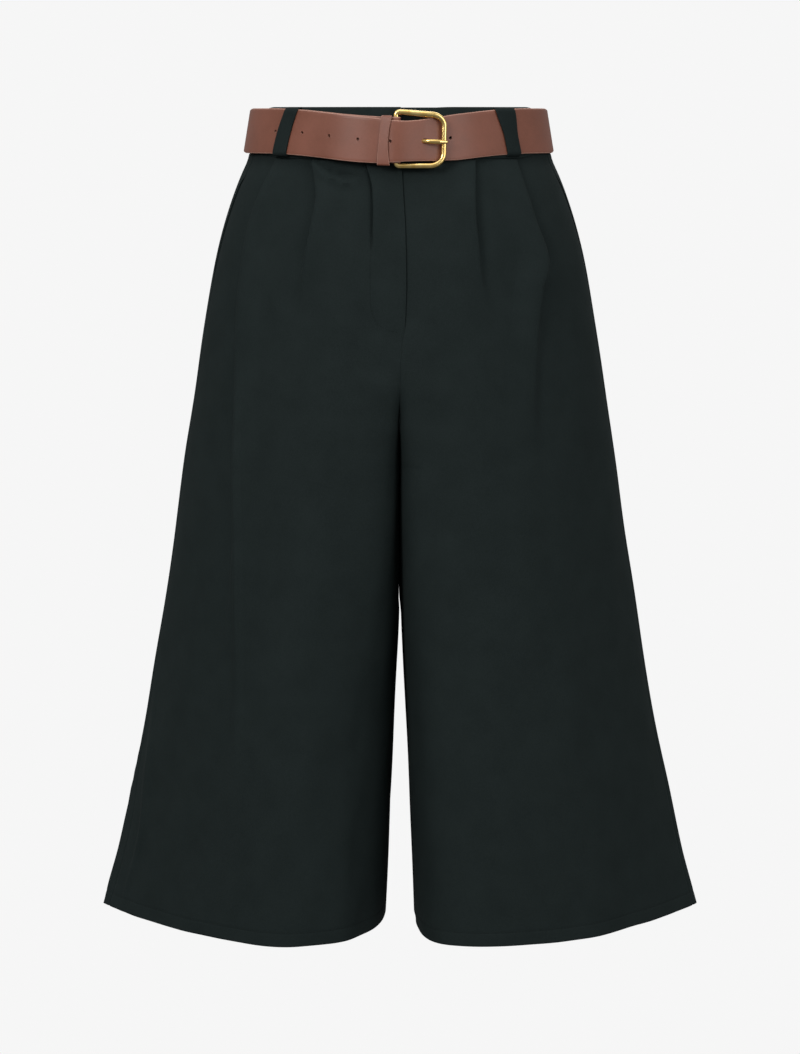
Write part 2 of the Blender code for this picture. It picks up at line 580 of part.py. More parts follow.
def belt_strap():
    line = strap_stations()
    points, faces, rings = [], [], []
    for k, here in enumerate(line):
        before, after = line[max(k - 1, 0)], line[min(k + 1, len(line) - 1)]
        ahead = np.array([after.distance - before.distance, after.lift - before.lift])
        if abs(ahead[0]) > GIRTH / 2.0:     # the middle line starts its second round
            ahead[0] += GIRTH
        out = np.array([-ahead[1], ahead[0]]) / np.hypot(*ahead)
        middle = belt_middle(here.distance)
        heights = [-here.half, here.half]
        if here.strip:
            heights[1:1] = [-STRIP_HALF, STRIP_HALF]
        ring = []
        for face in (1.0, -1.0):
            row = []
            for height in heights:
                row.append(len(points))
                points.append(waist_place(here.distance + face * out[0] * here.thickness / 2.0,
                                          here.lift + face * out[1] * here.thickness / 2.0,
                                          middle + height))
            ring.append(row)
        rings.append(ring)
    slot_open = False
    for here, a, b in zip(line, rings, rings[1:]):
        for face in (0, 1):
            if len(a[face]) == 4 and len(b[face]) == 4:
                for k in (0, 1, 2):
                    if k != 1 or not here.cut:
                        faces.append((a[face][k], a[face][k + 1], b[face][k + 1], b[face][k]))
            else:
                faces.append(tuple(a[face]) + tuple(reversed(b[face])))
        for edge in (0, -1):
            faces.append((a[0][edge], a[1][edge], b[1][edge], b[0][edge]))
        if here.cut == "hole":
            faces += hole_faces(points, a, b)
        if here.cut == "slot":              # the slot's two long walls
            faces += [(a[0][k], a[1][k], b[1][k], b[0][k]) for k in (1, 2)]
        if slot_open != (here.cut == "slot"):   # and the wall across each of its ends
            faces.append((a[0][1], a[0][2], a[1][2], a[1][1]))
        slot_open = here.cut == "slot"
    for ring in (rings[0], rings[-1]):
        faces.append(tuple(ring[0]) + tuple(reversed(ring[1])))
    return solid("belt_strap", points, faces, LEATHER_SKIN)


def hole_faces(points, a, b):
    """A round hole through the strip between two stations; adds its points."""
    faces, rims = [], []
    for face in (0, 1):
        corners = [np.array(points[i]) for i in (a[face][1], b[face][1], b[face][2], a[face][2])]
        rim = []
        for k in range(HOLE_SIDES):
            angle = math.tau * (k + 0.5) / HOLE_SIDES - 0.75 * math.pi
            along = 0.5 + 0.5 * HOLE_R / HOLE_CELL * math.cos(angle)
            across = 0.5 + 0.5 * HOLE_R / STRIP_HALF * math.sin(angle)
            low = corners[0] + (corners[1] - corners[0]) * along
            high = corners[3] + (corners[2] - corners[3]) * along
            rim.append(len(points))
            points.append(tuple(float(v) for v in low + (high - low) * across))
        rims.append(rim)
        border = (a[face][1], b[face][1], b[face][2], a[face][2])
        for k in range(4):
            near, far, beyond = rim[2 * k], rim[2 * k + 1], rim[(2 * k + 2) % HOLE_SIDES]
            faces.append((border[k], border[(k + 1) % 4], far, near))
            faces.append((border[(k + 1) % 4], beyond, far))
    for k in range(HOLE_SIDES):
        n = (k + 1) % HOLE_SIDES
        faces.append((rims[0][k], rims[0][n], rims[1][n], rims[1][k]))
    return faces


def tube(name, path, radius, closed, surface):
    """A round bar along points in space."""
    path = [np.array(p, float) for p in path]
    count, points, faces = len(path), [], []
    reference = np.array((0.0, -1.0, 0.0))
    for k, here in enumerate(path):
        before = path[k - 1] if closed or k else here
        after = path[(k + 1) % count] if closed or k < count - 1 else here
        ahead = (after - before) / np.linalg.norm(after - before)
        across = np.cross(ahead, reference)
        if np.linalg.norm(across) < ALONG_DEPTH:    # the bar runs straight out here
            across = np.array((0.0, 0.0, 1.0)) if ahead[0] > 0.0 else np.array((0.0, 0.0, -1.0))
            across -= ahead * across.dot(ahead)
        across /= np.linalg.norm(across)
        upward = np.cross(across, ahead)
        for j in range(BAR_SIDES):
            angle = math.tau * (j + 0.5) / BAR_SIDES
            points.append(tuple(here + radius * (math.cos(angle) * across + math.sin(angle) * upward)))
    for k in range(count if closed else count - 1):
        n = (k + 1) % count
        for j in range(BAR_SIDES):
            m = (j + 1) % BAR_SIDES
            faces.append(tuple(i * BAR_SIDES + c for i, c in ((k, j), (k, m), (n, m), (n, j))))
    if not closed:
        faces += [[i * BAR_SIDES + j for j in range(BAR_SIDES)] for i in (0, count - 1)]
    return solid(name, points, faces, surface)


def buckle_frame():
    """One closed bar: the heel bar that the strap turns round, and the rounded end."""
    corners = ((HEEL, 1.0), (END, 1.0), (END, -1.0), (HEEL, -1.0))
    path = []
    for k, (distance, up) in enumerate(corners):
        corner = END_CORNER if distance == END else HEEL_CORNER
        inward = 1.0 if distance == END else -1.0
        for step in range(BUCKLE_CORNER_STEPS + 1):
            angle = math.radians(90.0) * (step / BUCKLE_CORNER_STEPS + k - 1)
            along = distance + inward * corner - corner * math.sin(angle)
            height = BUCKLE_Z + up * (BUCKLE_HALF - corner) + corner * math.cos(angle)
            share = (along - HEEL) / (END - HEEL)
            path.append(waist_place(along, HEEL_LIFT + (END_LIFT - HEEL_LIFT) * share, height))
    return tube("buckle_frame", path, BAR_R, True, BRASS)


def buckle_prong():
    """A hook over the heel bar, then through the strap and over the end bar."""
    radius = BAR_R + CLEAR + PRONG_R
    path = [(HEEL + radius * math.cos(math.radians(angle)),
             HEEL_LIFT + radius * math.sin(math.radians(angle))) for angle in PRONG_HOOK]
    path += list(PRONG_PATH)
    middle = belt_middle(END / 2.0)
    return tube("buckle_prong", [waist_place(d, lift, middle) for d, lift in path],
                PRONG_R, False, BRASS)


def belt_keeper():
    """The leather keeper round the strap and its free end."""
    outer, inner = [], []
    for distance in (KEEPER[0], 0.5 * (KEEPER[0] + KEEPER[1]), KEEPER[1]):
        middle = belt_middle(distance)
        low, high = under_lift(distance) - CLEAR, free_lift(distance) + LEATHER + CLEAR
        half = BELT_HALF + CLEAR
        for rows, grow in ((outer, KEEPER_WALL), (inner, 0.0)):
            cut = KEEPER_BEVEL if grow else 0.0
            a, b, h = low - grow, high + grow, half + grow
            corners = ((a + cut, -h), (b - cut, -h), (b, cut - h), (b, 0.0), (b, h - cut), (b - cut, h),
                       (a + cut, h), (a, h - cut), (a, 0.0), (a, cut - h))
            rows.append([waist_place(distance, lift, middle + up) for lift, up in corners])
    points = [p for row in outer + inner for p in row]
    around, rows, faces = len(outer[0]), len(outer), []
    for layer in (0, rows):
        for i in range(layer, layer + rows - 1):
            for j in range(around):
                m = (j + 1) % around
                faces.append((i * around + j, i * around + m, (i + 1) * around + m, (i + 1) * around + j))
    for i in (0, rows - 1):
        for j in range(around):
            m = (j + 1) % around
            faces.append((i * around + j, i * around + m, (rows + i) * around + m, (rows + i) * around + j))
    return solid("belt_keeper", points, faces, LEATHER_SKIN)


def belt_loop(name, middle):
    """A strip of cloth held at the waistband's two edges, standing over the belt."""
    outer, inner = [], []
    for step in (-0.5, 0.0, 0.5):
        distance = middle + step * LOOP_WIDTH
        layers = free_lift(distance) if distance < TIP else under_lift(distance)
        stand = layers + LEATHER + LOOP_CLEAR
        low = BAND_OUTER + SEAM + (band_over(distance) if distance > 0.0 else 0.0)
        face, round_in = stand + LOOP_WALL, LOOP_ROUND - LOOP_WALL
        reach_in = belt_middle(distance) + np.array((1.0, -1.0)) * (BELT_HALF + LOOP_CLEAR)
        top, bottom = reach_in
        high, deep = top + LOOP_WALL, bottom - LOOP_WALL
        outside = ((low, high), (face - LOOP_ROUND, high), (face, high - LOOP_ROUND), (face, 0.0),
                   (face, deep + LOOP_ROUND), (face - LOOP_ROUND, deep), (low, deep))
        inside = ((low, top), (stand - round_in, top), (stand, top - round_in), (stand, 0.0),
                  (stand, bottom + round_in), (stand - round_in, bottom), (low, bottom))
        outer.append([waist_place(distance, lift, z) for lift, z in outside])
        inner.append([waist_place(distance, lift, z) for lift, z in inside])
    return wall(name, outer, inner, CLOTH)


for side_name, side_sign in (("right", RIGHT), ("left", LEFT)):
    panel(side_name + "_front", side_sign, FRONT, front_columns)
    panel(side_name + "_back", side_sign, BACK, back_columns)
    pocket(side_name + "_pocket", side_sign)
waistband()
for loop in LOOPS:
    belt_loop(*loop)
belt_strap()
buckle_frame()
buckle_prong()
belt_keeper()
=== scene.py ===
"""Looks of the pleated wide-leg shorts with their belt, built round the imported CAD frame.

+Z is up, the front faces -Y and the wearer's left is +X; sizes are metres.  Each cut piece of cloth
is a thin closed shell on the same half sections as its solid: a place on the cloth is (side, z, u,
lift), where u runs along the section from its widest point, the front positive and the back
negative, and lift stands out of the plain face.
"""

import math
from collections import namedtuple

import bpy
import numpy as np
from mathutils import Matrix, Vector


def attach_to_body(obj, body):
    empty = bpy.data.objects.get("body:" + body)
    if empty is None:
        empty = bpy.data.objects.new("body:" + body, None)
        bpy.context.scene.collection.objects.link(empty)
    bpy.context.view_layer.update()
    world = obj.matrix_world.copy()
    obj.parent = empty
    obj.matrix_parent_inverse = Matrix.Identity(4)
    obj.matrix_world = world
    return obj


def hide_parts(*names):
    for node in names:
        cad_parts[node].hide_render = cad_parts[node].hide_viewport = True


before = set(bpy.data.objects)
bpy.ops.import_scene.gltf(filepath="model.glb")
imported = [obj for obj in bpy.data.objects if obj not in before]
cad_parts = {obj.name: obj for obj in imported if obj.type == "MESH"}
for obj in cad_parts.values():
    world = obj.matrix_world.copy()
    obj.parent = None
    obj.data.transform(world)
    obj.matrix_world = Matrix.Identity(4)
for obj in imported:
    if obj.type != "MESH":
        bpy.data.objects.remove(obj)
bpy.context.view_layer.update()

RIGHT, LEFT = -1.0, 1.0                 # the wearer's sides, as the sign of X
FRONT, BACK = 1.0, -1.0
SIDES = (("right", RIGHT), ("left", LEFT))

# ------------------------------------------------------------------ the form, as in the solids
CLOTH_WALL = 0.0012
CLEAR = 0.0003                          # between pieces that lie on one another
OVERLAP = 0.00005                       # shells run this far into one another at a seam
BAND_TOP, BAND_BOTTOM = 0.021, -0.021
BAND_INNER, BAND_OUTER = -0.0020, 0.0006
HEM_Z = -0.6655

Level = namedtuple("Level", "z side heading front crest_front back crest_back gap")
LEVELS = (
    Level(+0.0210, 0.1205, 90.0, 0.0860, 0.018, 0.0860, 0.018, 0.00015),
    Level(-0.0210, 0.1275, 90.0, 0.0890, 0.020, 0.0900, 0.020, 0.00015),
    Level(-0.0400, 0.1357, 90.0, 0.0950, 0.022, 0.0980, 0.024, 0.00015),
    Level(-0.0730, 0.1472, 90.0, 0.1020, 0.026, 0.1100, 0.034, 0.00015),
    Level(-0.1070, 0.1560, 89.0, 0.1070, 0.032, 0.1190, 0.046, 0.00015),
    Level(-0.1570, 0.1651, 88.0, 0.1120, 0.040, 0.1280, 0.058, 0.00015),
    Level(-0.2250, 0.1756, 86.0, 0.1165, 0.050, 0.1320, 0.066, 0.00020),
    Level(-0.2940, 0.1866, 83.0, 0.1200, 0.058, 0.1330, 0.070, 0.00025),
    Level(-0.3630, 0.1967, 80.0, 0.1235, 0.064, 0.1335, 0.074, 0.00030),
    Level(-0.4150, 0.2050, 77.0, 0.1260, 0.068, 0.1340, 0.076, 0.00125),
    Level(-0.4850, 0.2170, 73.0, 0.1295, 0.073, 0.1350, 0.079, 0.00470),
    Level(-0.5560, 0.2317, 68.0, 0.1330, 0.077, 0.1360, 0.081, 0.00780),
    Level(-0.6100, 0.2440, 63.0, 0.1352, 0.080, 0.1370, 0.082, 0.01020),
    Level(HEM_Z, 0.2590, 58.0, 0.1375, 0.082, 0.1380, 0.083, 0.01220),
)
LEVEL_SMOOTHING = 0.010                 # the levels' curves are rounded over this height
SIDE_HANDLE, CREST_HANDLE = 0.50, 0.65
INNER_HANDLE, INNER_TURNED = 0.40, 0.90
SEAM_HANDLE, SEAM_TURNED = 0.40, 0.93
CURVE_POINTS = 65
STRAIGHT_POINTS = 24                    # along the flat wall between the legs,
STRAIGHT_LEAST = 1e-5                   # where it is at least this long
CORNER = 0.050                          # near the crotch the curve is only this deep, then straight
CORNER_FADE = 0.200                     # and that eases off over this height below it
GAP_TOP, GAP_FADE = -0.266, 0.010       # above here the two sides of the seams meet

DIVE_Z, CROTCH_Z = -0.185, -0.270       # the centre seams turn under between these heights
CROTCH_Y = 0.010
CROTCH_ROUND = 2.2
TURN_SHARE = 1.5

LEAN = 0.0016                           # the inner walls of the legs lean together sideways
LEAN_REACH_X, LEAN_REACH_Y = 0.025, 0.080
LEAN_TOP_Z, LEAN_END_Z, LEAN_FADE = -0.205, -0.405, 0.020

FlyRow = namedtuple("FlyRow", "z x")
FLY_EDGE = (FlyRow(BAND_BOTTOM, 0.0010), FlyRow(-0.0500, 0.0026), FlyRow(-0.0780, 0.0042),
            FlyRow(-0.1180, 0.0050), FlyRow(-0.1580, 0.0037), FlyRow(-0.1760, 0.0012),
            FlyRow(DIVE_Z, 0.0), FlyRow(HEM_Z, 0.0))
FLY_STEP, FLY_STEP_REACH = 0.0009, 0.018
FLY_STEP_END, FLY_STEP_FADE = -0.168, 0.020
FLY_UNDERLAP = 0.0040                   # the left front runs on under the right front's edge
FLY_UNDERLAP_DROP, FLY_DROP_RUN = 0.0008, 0.002     # and drops this much, this near the edge
FLY_UNDERLAP_END = -0.178               # none of it from here down

SideRow = namedtuple("SideRow", "z u")
SIDE_SEAM = {
    RIGHT: (SideRow(BAND_BOTTOM, 0.0225), SideRow(-0.1000, 0.0180), SideRow(-0.1700, 0.0145),
            SideRow(-0.3500, 0.0070), SideRow(-0.5150, 0.0060), SideRow(-0.5910, 0.0160),
            SideRow(-0.6440, 0.0130), SideRow(HEM_Z, 0.0110)),
    LEFT: (SideRow(BAND_BOTTOM, 0.0195), SideRow(-0.1000, 0.0130), SideRow(-0.1700, 0.0110),
           SideRow(-0.3500, 0.0070), SideRow(-0.5150, 0.0060), SideRow(-0.5910, 0.0070),
           SideRow(-0.6440, 0.0080), SideRow(HEM_Z, 0.0080)),
}

# Pleats, deeper and tighter than the solids': each falls along x; cloth on the centre's side
# stands up by rise and drops over lip.
Fold = namedtuple("Fold", "z x rise lip")
FOLDS = {
    (RIGHT, FRONT): (
        (Fold(BAND_BOTTOM, 0.1005, 0.0016, 0.0020), Fold(-0.0590, 0.1171, 0.0030, 0.0022),
         Fold(-0.0870, 0.1245, 0.0034, 0.0024), Fold(-0.1390, 0.1311, 0.0036, 0.0028),
         Fold(-0.1830, 0.1325, 0.0034, 0.0034), Fold(-0.3010, 0.1350, 0.0030, 0.0052),
         Fold(-0.3890, 0.1385, 0.0014, 0.0090), Fold(-0.4500, 0.1440, 0.0, 0.0130),
         Fold(HEM_Z, 0.1800, 0.0, 0.0130)),
        (Fold(BAND_BOTTOM, 0.0700, 0.0024, 0.0022), Fold(-0.0500, 0.0655, 0.0046, 0.0024),
         Fold(-0.0740, 0.0695, 0.0046, 0.0026), Fold(-0.1020, 0.0754, 0.0034, 0.0044),
         Fold(-0.1500, 0.0830, 0.0, 0.0120), Fold(HEM_Z, 0.1400, 0.0, 0.0120)),
        (Fold(BAND_BOTTOM, 0.0275, 0.0014, 0.0020), Fold(-0.0460, 0.0214, 0.0028, 0.0020),
         Fold(-0.0820, 0.0203, 0.0020, 0.0036), Fold(-0.1200, 0.0235, 0.0, 0.0080),
         Fold(-0.2250, 0.0500, 0.0, 0.0100), Fold(HEM_Z, 0.1020, 0.0, 0.0100)),
    ),
    (LEFT, FRONT): (
        (Fold(BAND_BOTTOM, 0.0938, 0.0018, 0.0022), Fold(-0.0670, 0.1066, 0.0044, 0.0022),
         Fold(-0.1080, 0.1162, 0.0074, 0.0034), Fold(-0.1280, 0.1128, 0.0056, 0.0060),
         Fold(-0.1680, 0.1100, 0.0030, 0.0080), Fold(-0.2170, 0.1080, 0.0018, 0.0110),
         Fold(-0.2900, 0.1120, 0.0, 0.0140), Fold(HEM_Z, 0.1700, 0.0, 0.0140)),
        (Fold(BAND_BOTTOM, 0.0600, 0.0018, 0.0020), Fold(-0.0540, 0.0584, 0.0044, 0.0024),
         Fold(-0.0980, 0.0622, 0.0036, 0.0046), Fold(-0.1300, 0.0665, 0.0012, 0.0090),
         Fold(-0.1600, 0.0720, 0.0, 0.0110), Fold(HEM_Z, 0.1150, 0.0, 0.0110)),
    ),
}
BACK_DARTS = (
    (Fold(BAND_BOTTOM, 0.0800, 0.0010, 0.0014), Fold(-0.0900, 0.0960, 0.0006, 0.0014),
     Fold(-0.1300, 0.1030, 0.0, 0.0030), Fold(HEM_Z, 0.1650, 0.0, 0.0030)),
    (Fold(BAND_BOTTOM, 0.0450, 0.0010, 0.0014), Fold(-0.0900, 0.0600, 0.0006, 0.0014),
     Fold(-0.1300, 0.0680, 0.0, 0.0030), Fold(HEM_Z, 0.1200, 0.0, 0.0030)),
)
FOLDS[RIGHT, BACK] = FOLDS[LEFT, BACK] = BACK_DARTS
FOLD_RUN, FOLD_TROUGH_RUN = 0.026, 0.018
FOLD_TROUGH = 0.30
CREVICE, CREVICE_AT = 0.0016, 0.72      # the narrow fold under a tight lip, and its place across it
FOLD_DEPTH = 1.30                       # every rise above counts this many times
ROLL = 0.26                             # how far a tight lip rolls over, as a share of the lip
ROLL_TIGHT, ROLL_OPEN = 0.0030, 0.0060  # lips this narrow roll fully, and this wide not at all

# Soft creases laid over the form: each runs along x, high by height (a valley if negative)
# and as wide as width on either side.
Crease = namedtuple("Crease", "z x height width")
CREASES = {
    (RIGHT, FRONT): (
        # the pressed line that the outer pleat leaves below it
        (Crease(-0.1800, 0.1310, 0.0, 0.0036), Crease(-0.2600, 0.1332, 0.0020, 0.0036),
         Crease(-0.4000, 0.1338, 0.0026, 0.0038), Crease(-0.4800, 0.1355, 0.0016, 0.0055),
         Crease(-0.5800, 0.1430, 0.0, 0.0100)),
        # the ridge that runs out to the corner of the hem
        (Crease(-0.4500, 0.2080, 0.0, 0.006), Crease(-0.5300, 0.2150, 0.0020, 0.006),
         Crease(-0.5900, 0.2210, 0.0026, 0.004), Crease(-0.6500, 0.2370, 0.0010, 0.003),
         Crease(HEM_Z, 0.2410, 0.0004, 0.003)),
        # long soft falls down the leg
        (Crease(-0.3000, 0.0900, 0.0, 0.020), Crease(-0.4500, 0.0960, 0.0016, 0.022),
         Crease(HEM_Z, 0.1080, 0.0030, 0.026)),
        (Crease(-0.2200, 0.0200, 0.0, 0.030), Crease(-0.3800, 0.0220, -0.0100, 0.036),
         Crease(-0.5000, 0.0240, -0.0150, 0.041), Crease(HEM_Z, 0.0270, -0.0150, 0.045)),
    ),
    (LEFT, FRONT): (
        (Crease(-0.2000, 0.0700, 0.0, 0.018), Crease(-0.4000, 0.0800, -0.0014, 0.022),
         Crease(HEM_Z, 0.0980, -0.0030, 0.028)),
        (Crease(-0.3000, 0.1260, 0.0, 0.018), Crease(-0.4800, 0.1440, 0.0014, 0.020),
         Crease(HEM_Z, 0.1640, 0.0028, 0.024)),
    ),
    (RIGHT, BACK): (
        (Crease(-0.1500, 0.1000, 0.0, 0.018), Crease(-0.3500, 0.1120, 0.0022, 0.022),
         Crease(HEM_Z, 0.1300, 0.0036, 0.028)),
        (Crease(-0.2200, 0.0600, 0.0, 0.014), Crease(-0.4000, 0.0680, -0.0018, 0.018),
         Crease(HEM_Z, 0.0760, -0.0028, 0.022)),
    ),
    (LEFT, BACK): (
        (Crease(-0.1400, 0.0960, 0.0, 0.018), Crease(-0.3300, 0.1080, 0.0020, 0.022),
         Crease(HEM_Z, 0.1240, 0.0034, 0.026)),
        (Crease(-0.2400, 0.0560, 0.0, 0.014), Crease(-0.4200, 0.0620, -0.0016, 0.018),
         Crease(HEM_Z, 0.0700, -0.0030, 0.022)),
    ),
}
# The cloth is dragged up along a line between two pleats, just under the belt: it stands up by
# height below the line and falls in above it.
Drag = namedtuple("Drag", "x z height")
DRAG = (Drag(0.0690, -0.0225, 0.0012), Drag(0.0620, -0.0290, 0.0032), Drag(0.0520, -0.0345, 0.0040),
        Drag(0.0440, -0.0365, 0.0036), Drag(0.0350, -0.0345, 0.0022), Drag(0.0270, -0.0305, 0.0))
DRAG_WIDTH, DRAG_REACH = 0.0036, 4.0    # and it has faded out this many widths below
# The cloth is nowhere quite even: low waves of a few lengths along u and down z.
Wave = namedtuple("Wave", "along down height phase")
WAVES = (Wave(0.055, 0.210, 0.00024, 0.3), Wave(0.083, 0.150, 0.00022, 1.9),
         Wave(0.034, 0.330, 0.00012, 4.1), Wave(0.120, 0.095, 0.00012, 2.6))
WAVES_SHARE_TOP, WAVES_GROW = -0.030, 0.200     # none at the waistband, all of it this much lower

HEM_DEPTH = 0.0115                      # the hem's turned-up height, where its stitches run
HEM_DENT, HEM_DENT_WIDTH = 0.00016, 0.0011
HEM_TURNED, HEM_TURNED_RUN = 0.0010, 0.0008     # added thickness of the cloth turned up inside
HEM_TURNED_OVER = 0.0010                # and how far above the stitches it starts
EDGE_ROUND = 0.0006
SEAM_DIP, SEAM_DIP_WIDTH = 0.00065, 0.0012
SEAM_CALM = 0.020                       # no folds or waves reach nearer than this to the back seam
SEAM_DIP_FADE = 0.015                   # the centre seams' dip is gone where they turn under
PRESSED, PRESSED_LIFT = 0.0009, 0.0006  # a panel's top goes flat over this height, this far in
BAND_RISE, BAND_RISE_X, BAND_RISE_RUN = 0.0036, 0.0950, 0.0200      # see band_bottom
INNER_LIFT = 0.0015                     # the wall's inner face follows the folds only this far out
PANEL_ROW, PANEL_COLUMN = 0.0036, 0.0021        # mesh spacing down and across a panel
PANEL_LEAST, PANEL_MOST = 7, 46         # mesh columns between two of its stops
STOP_IN, STOP_PAST, STOP_APART = 0.0030, 0.0040, 0.0012     # from an edge, from the last, at least
BACK_STOP, BACK_STOP_IN = -0.0120, 0.0060
PANEL_UNDER_BAND, PRESSED_ROWS = 0.0030, 18     # how far a panel runs up behind the waistband
CUT_ROWS = 40                           # heights at which a panel's flat size is measured

POCKET_TOP, POCKET_END, POCKET_FADE = -0.034, -0.128, 0.010
POCKET_SHOWS = 0.0055                   # the width of the pocket piece that shows in the mouth
POCKET_UNDER_FRONT, POCKET_UNDER_BACK = 0.024, 0.007
POCKET_TOP_Z, POCKET_BOTTOM_Z = -0.0240, -0.1500
POCKET_WALL, POCKET_CLEAR = 0.0013, 0.0001
POCKET_ROWS, POCKET_COLUMNS = 48, 24


# ------------------------------------------------------------------ curves and tables
def curve(rows, name, at):
    """A column of a table against its first column, as a smooth curve that never overshoots."""
    places = np.array([row[0] for row in rows])
    values = np.array([getattr(row, name) for row in rows])
    if places[0] > places[-1]:
        places, values = places[::-1], values[::-1]
    slopes = np.diff(values) / np.diff(places)
    product = slopes[:-1] * slopes[1:]
    total = np.where(product > 0.0, slopes[:-1] + slopes[1:], 1.0)
    slope = np.concatenate([slopes[:1], np.where(product > 0.0, 2.0 * product / total, 0.0), slopes[-1:]])
    at = np.clip(at, places[0], places[-1])
    i = np.clip(np.searchsorted(places, at, side="left") - 1, 0, len(places) - 2)
    run = places[i + 1] - places[i]
    t = (at - places[i]) / run
    return (values[i] * (1 + 2 * t) * (1 - t) ** 2 + slope[i] * run * t * (1 - t) ** 2
            + values[i + 1] * t * t * (3 - 2 * t) - slope[i + 1] * run * t * t * (1 - t))


def ease(t):
    t = np.clip(t, 0.0, 1.0)
    return t * t * (3.0 - 2.0 * t)


def bell(distance, reach):
    return 0.5 + 0.5 * np.cos(math.pi * np.minimum(np.abs(distance) / reach, 1.0))


def gauss(distance, width):
    return np.exp(-(distance / width) ** 2)


def bezier(points, count):
    t = np.linspace(0.0, 1.0, count)[:, None]
    a, b, c, d = (np.array(p) for p in points)
    return (1 - t) ** 3 * a + 3 * (1 - t) ** 2 * t * b + 3 * (1 - t) * t ** 2 * c + t ** 3 * d


def resample(path, step, closed):
    """Even points along a line in space."""
    path = np.asarray(path, float)
    if closed:
        path = np.vstack([path, path[:1]])
    run = np.concatenate([[0.0], np.cumsum(np.linalg.norm(np.diff(path, axis=0), axis=1))])
    count = max(2, round(run[-1] / step))
    at = np.linspace(0.0, run[-1], count + (0 if closed else 1), endpoint=not closed)
    return np.stack([np.interp(at, run, path[:, k]) for k in range(path.shape[1])], axis=-1)


def level(name, z):
    """A column of LEVELS, rounded over a little height so that the light runs smoothly down it."""
    near = z + LEVEL_SMOOTHING * np.array((-1.5, -0.75, 0.0, 0.75, 1.5))
    weight = gauss(near - z, LEVEL_SMOOTHING)
    value = float((curve(LEVELS, name, near) * weight).sum() / weight.sum())
    fade = ease(min(BAND_BOTTOM - z, z - HEM_Z) / (2.0 * LEVEL_SMOOTHING))
    return value * fade + float(curve(LEVELS, name, z)) * (1.0 - fade)


# ------------------------------------------------------------------ sections
def seam_place(z, depth, behind):
    """Depth of the centre seam at one height, and how far it has turned to face the other leg."""
    dive = min(max((DIVE_Z - z) / (DIVE_Z - CROTCH_Z), 0.0), 1.0)
    seam = (depth + behind) * (1.0 - dive ** CROTCH_ROUND) ** (1.0 / CROTCH_ROUND) - behind
    return seam, math.radians(90.0) * ease(dive * TURN_SHARE)


def half_curve(z, depth, crest, behind):
    """Points (x, depth) from the widest point to the seam, for the front or for the back."""
    side = level("side", z)
    apart = ease((GAP_TOP - z) / GAP_FADE)
    gap = level("gap", z) * apart - OVERLAP * (1.0 - apart)
    heading = math.radians(level("heading", z))
    seam, turn = seam_place(z, depth, behind)
    reach = SIDE_HANDLE * depth
    outer = bezier([(side, 0.0), (side - reach * math.cos(heading), reach * math.sin(heading)),
                    (side + CREST_HANDLE * (crest - side), depth), (crest, depth)], CURVE_POINTS)
    turned = turn / math.radians(90.0)
    flat = crest - gap
    fall = depth - seam
    corner = CORNER * math.tanh(fall / CORNER)
    corner += (fall - corner) * ease((CROTCH_Z - z) / CORNER_FADE)
    end = depth - corner
    reach = SEAM_HANDLE * flat * (1.0 - turned) + SEAM_TURNED * corner * turned
    inward = INNER_HANDLE + (INNER_TURNED - INNER_HANDLE) * turned
    inner = bezier([(crest, depth), (crest - inward * flat, depth),
                    (gap + reach * math.cos(turn), end + reach * math.sin(turn)), (gap, end)],
                   CURVE_POINTS)
    if end - seam > STRAIGHT_LEAST:
        inner = np.vstack([inner, np.linspace((gap, end), (gap, seam), STRAIGHT_POINTS)[1:]])
    return outer, inner


class Section:
    """The plain outer face at one height, from the back seam round the side to the front seam."""

    def __init__(self, z):
        self.z = z
        outer, inner = half_curve(z, level("front", z), level("crest_front", z), CROTCH_Y)
        back_outer, back_inner = half_curve(z, level("back", z), level("crest_back", z), -CROTCH_Y)
        front = np.vstack([outer, inner[1:]])
        back = np.vstack([back_outer, back_inner[1:]]) * (1.0, -1.0)
        points = np.vstack([back[::-1], front[1:]])
        if z > DIVE_Z:                  # the front runs on across the centre, for the fly
            points = np.vstack([points, front[::-1][1:] * (-1.0, 1.0)])
        self.u = np.concatenate([[0.0], np.cumsum(np.hypot(*np.diff(points, axis=0).T))])
        self.u -= self.u[len(back) - 1]
        self.points = points
        steps = np.gradient(points, self.u, axis=0)
        steps /= np.hypot(*steps.T)[:, None]
        self.normals = np.stack([steps[:, 1], -steps[:, 0]], axis=1)
        self.back_seam = self.u[0]
        self.front_seam = self.u[len(back) + len(front) - 2]

    def u_at_x(self, x, face):
        middle = int(np.argmin(np.abs(self.u)))
        if face == FRONT:
            return float(np.interp(-x, -self.points[middle:, 0], self.u[middle:]))
        return float(np.interp(x, self.points[:middle + 1, 0], self.u[:middle + 1]))

    def place(self, side, u, lift, z=None):
        """Points in space for arrays u and lift; z moves them up or down from the section."""
        x, forward = (np.interp(u, self.u, self.points[:, k]) for k in (0, 1))
        normal = np.stack([np.interp(u, self.u, self.normals[:, k]) for k in (0, 1)])
        normal /= np.hypot(*normal)
        x, forward = x + lift * normal[0], forward + lift * normal[1]
        fade = ease((LEAN_TOP_Z - self.z) / LEAN_FADE) * ease((self.z - LEAN_END_Z) / LEAN_FADE)
        lean = LEAN * fade * gauss(x, LEAN_REACH_X) * bell(forward, LEAN_REACH_Y)
        heights = np.full_like(x, self.z if z is None else z)
        return np.stack([side * x - lean, -forward, heights], axis=-1)


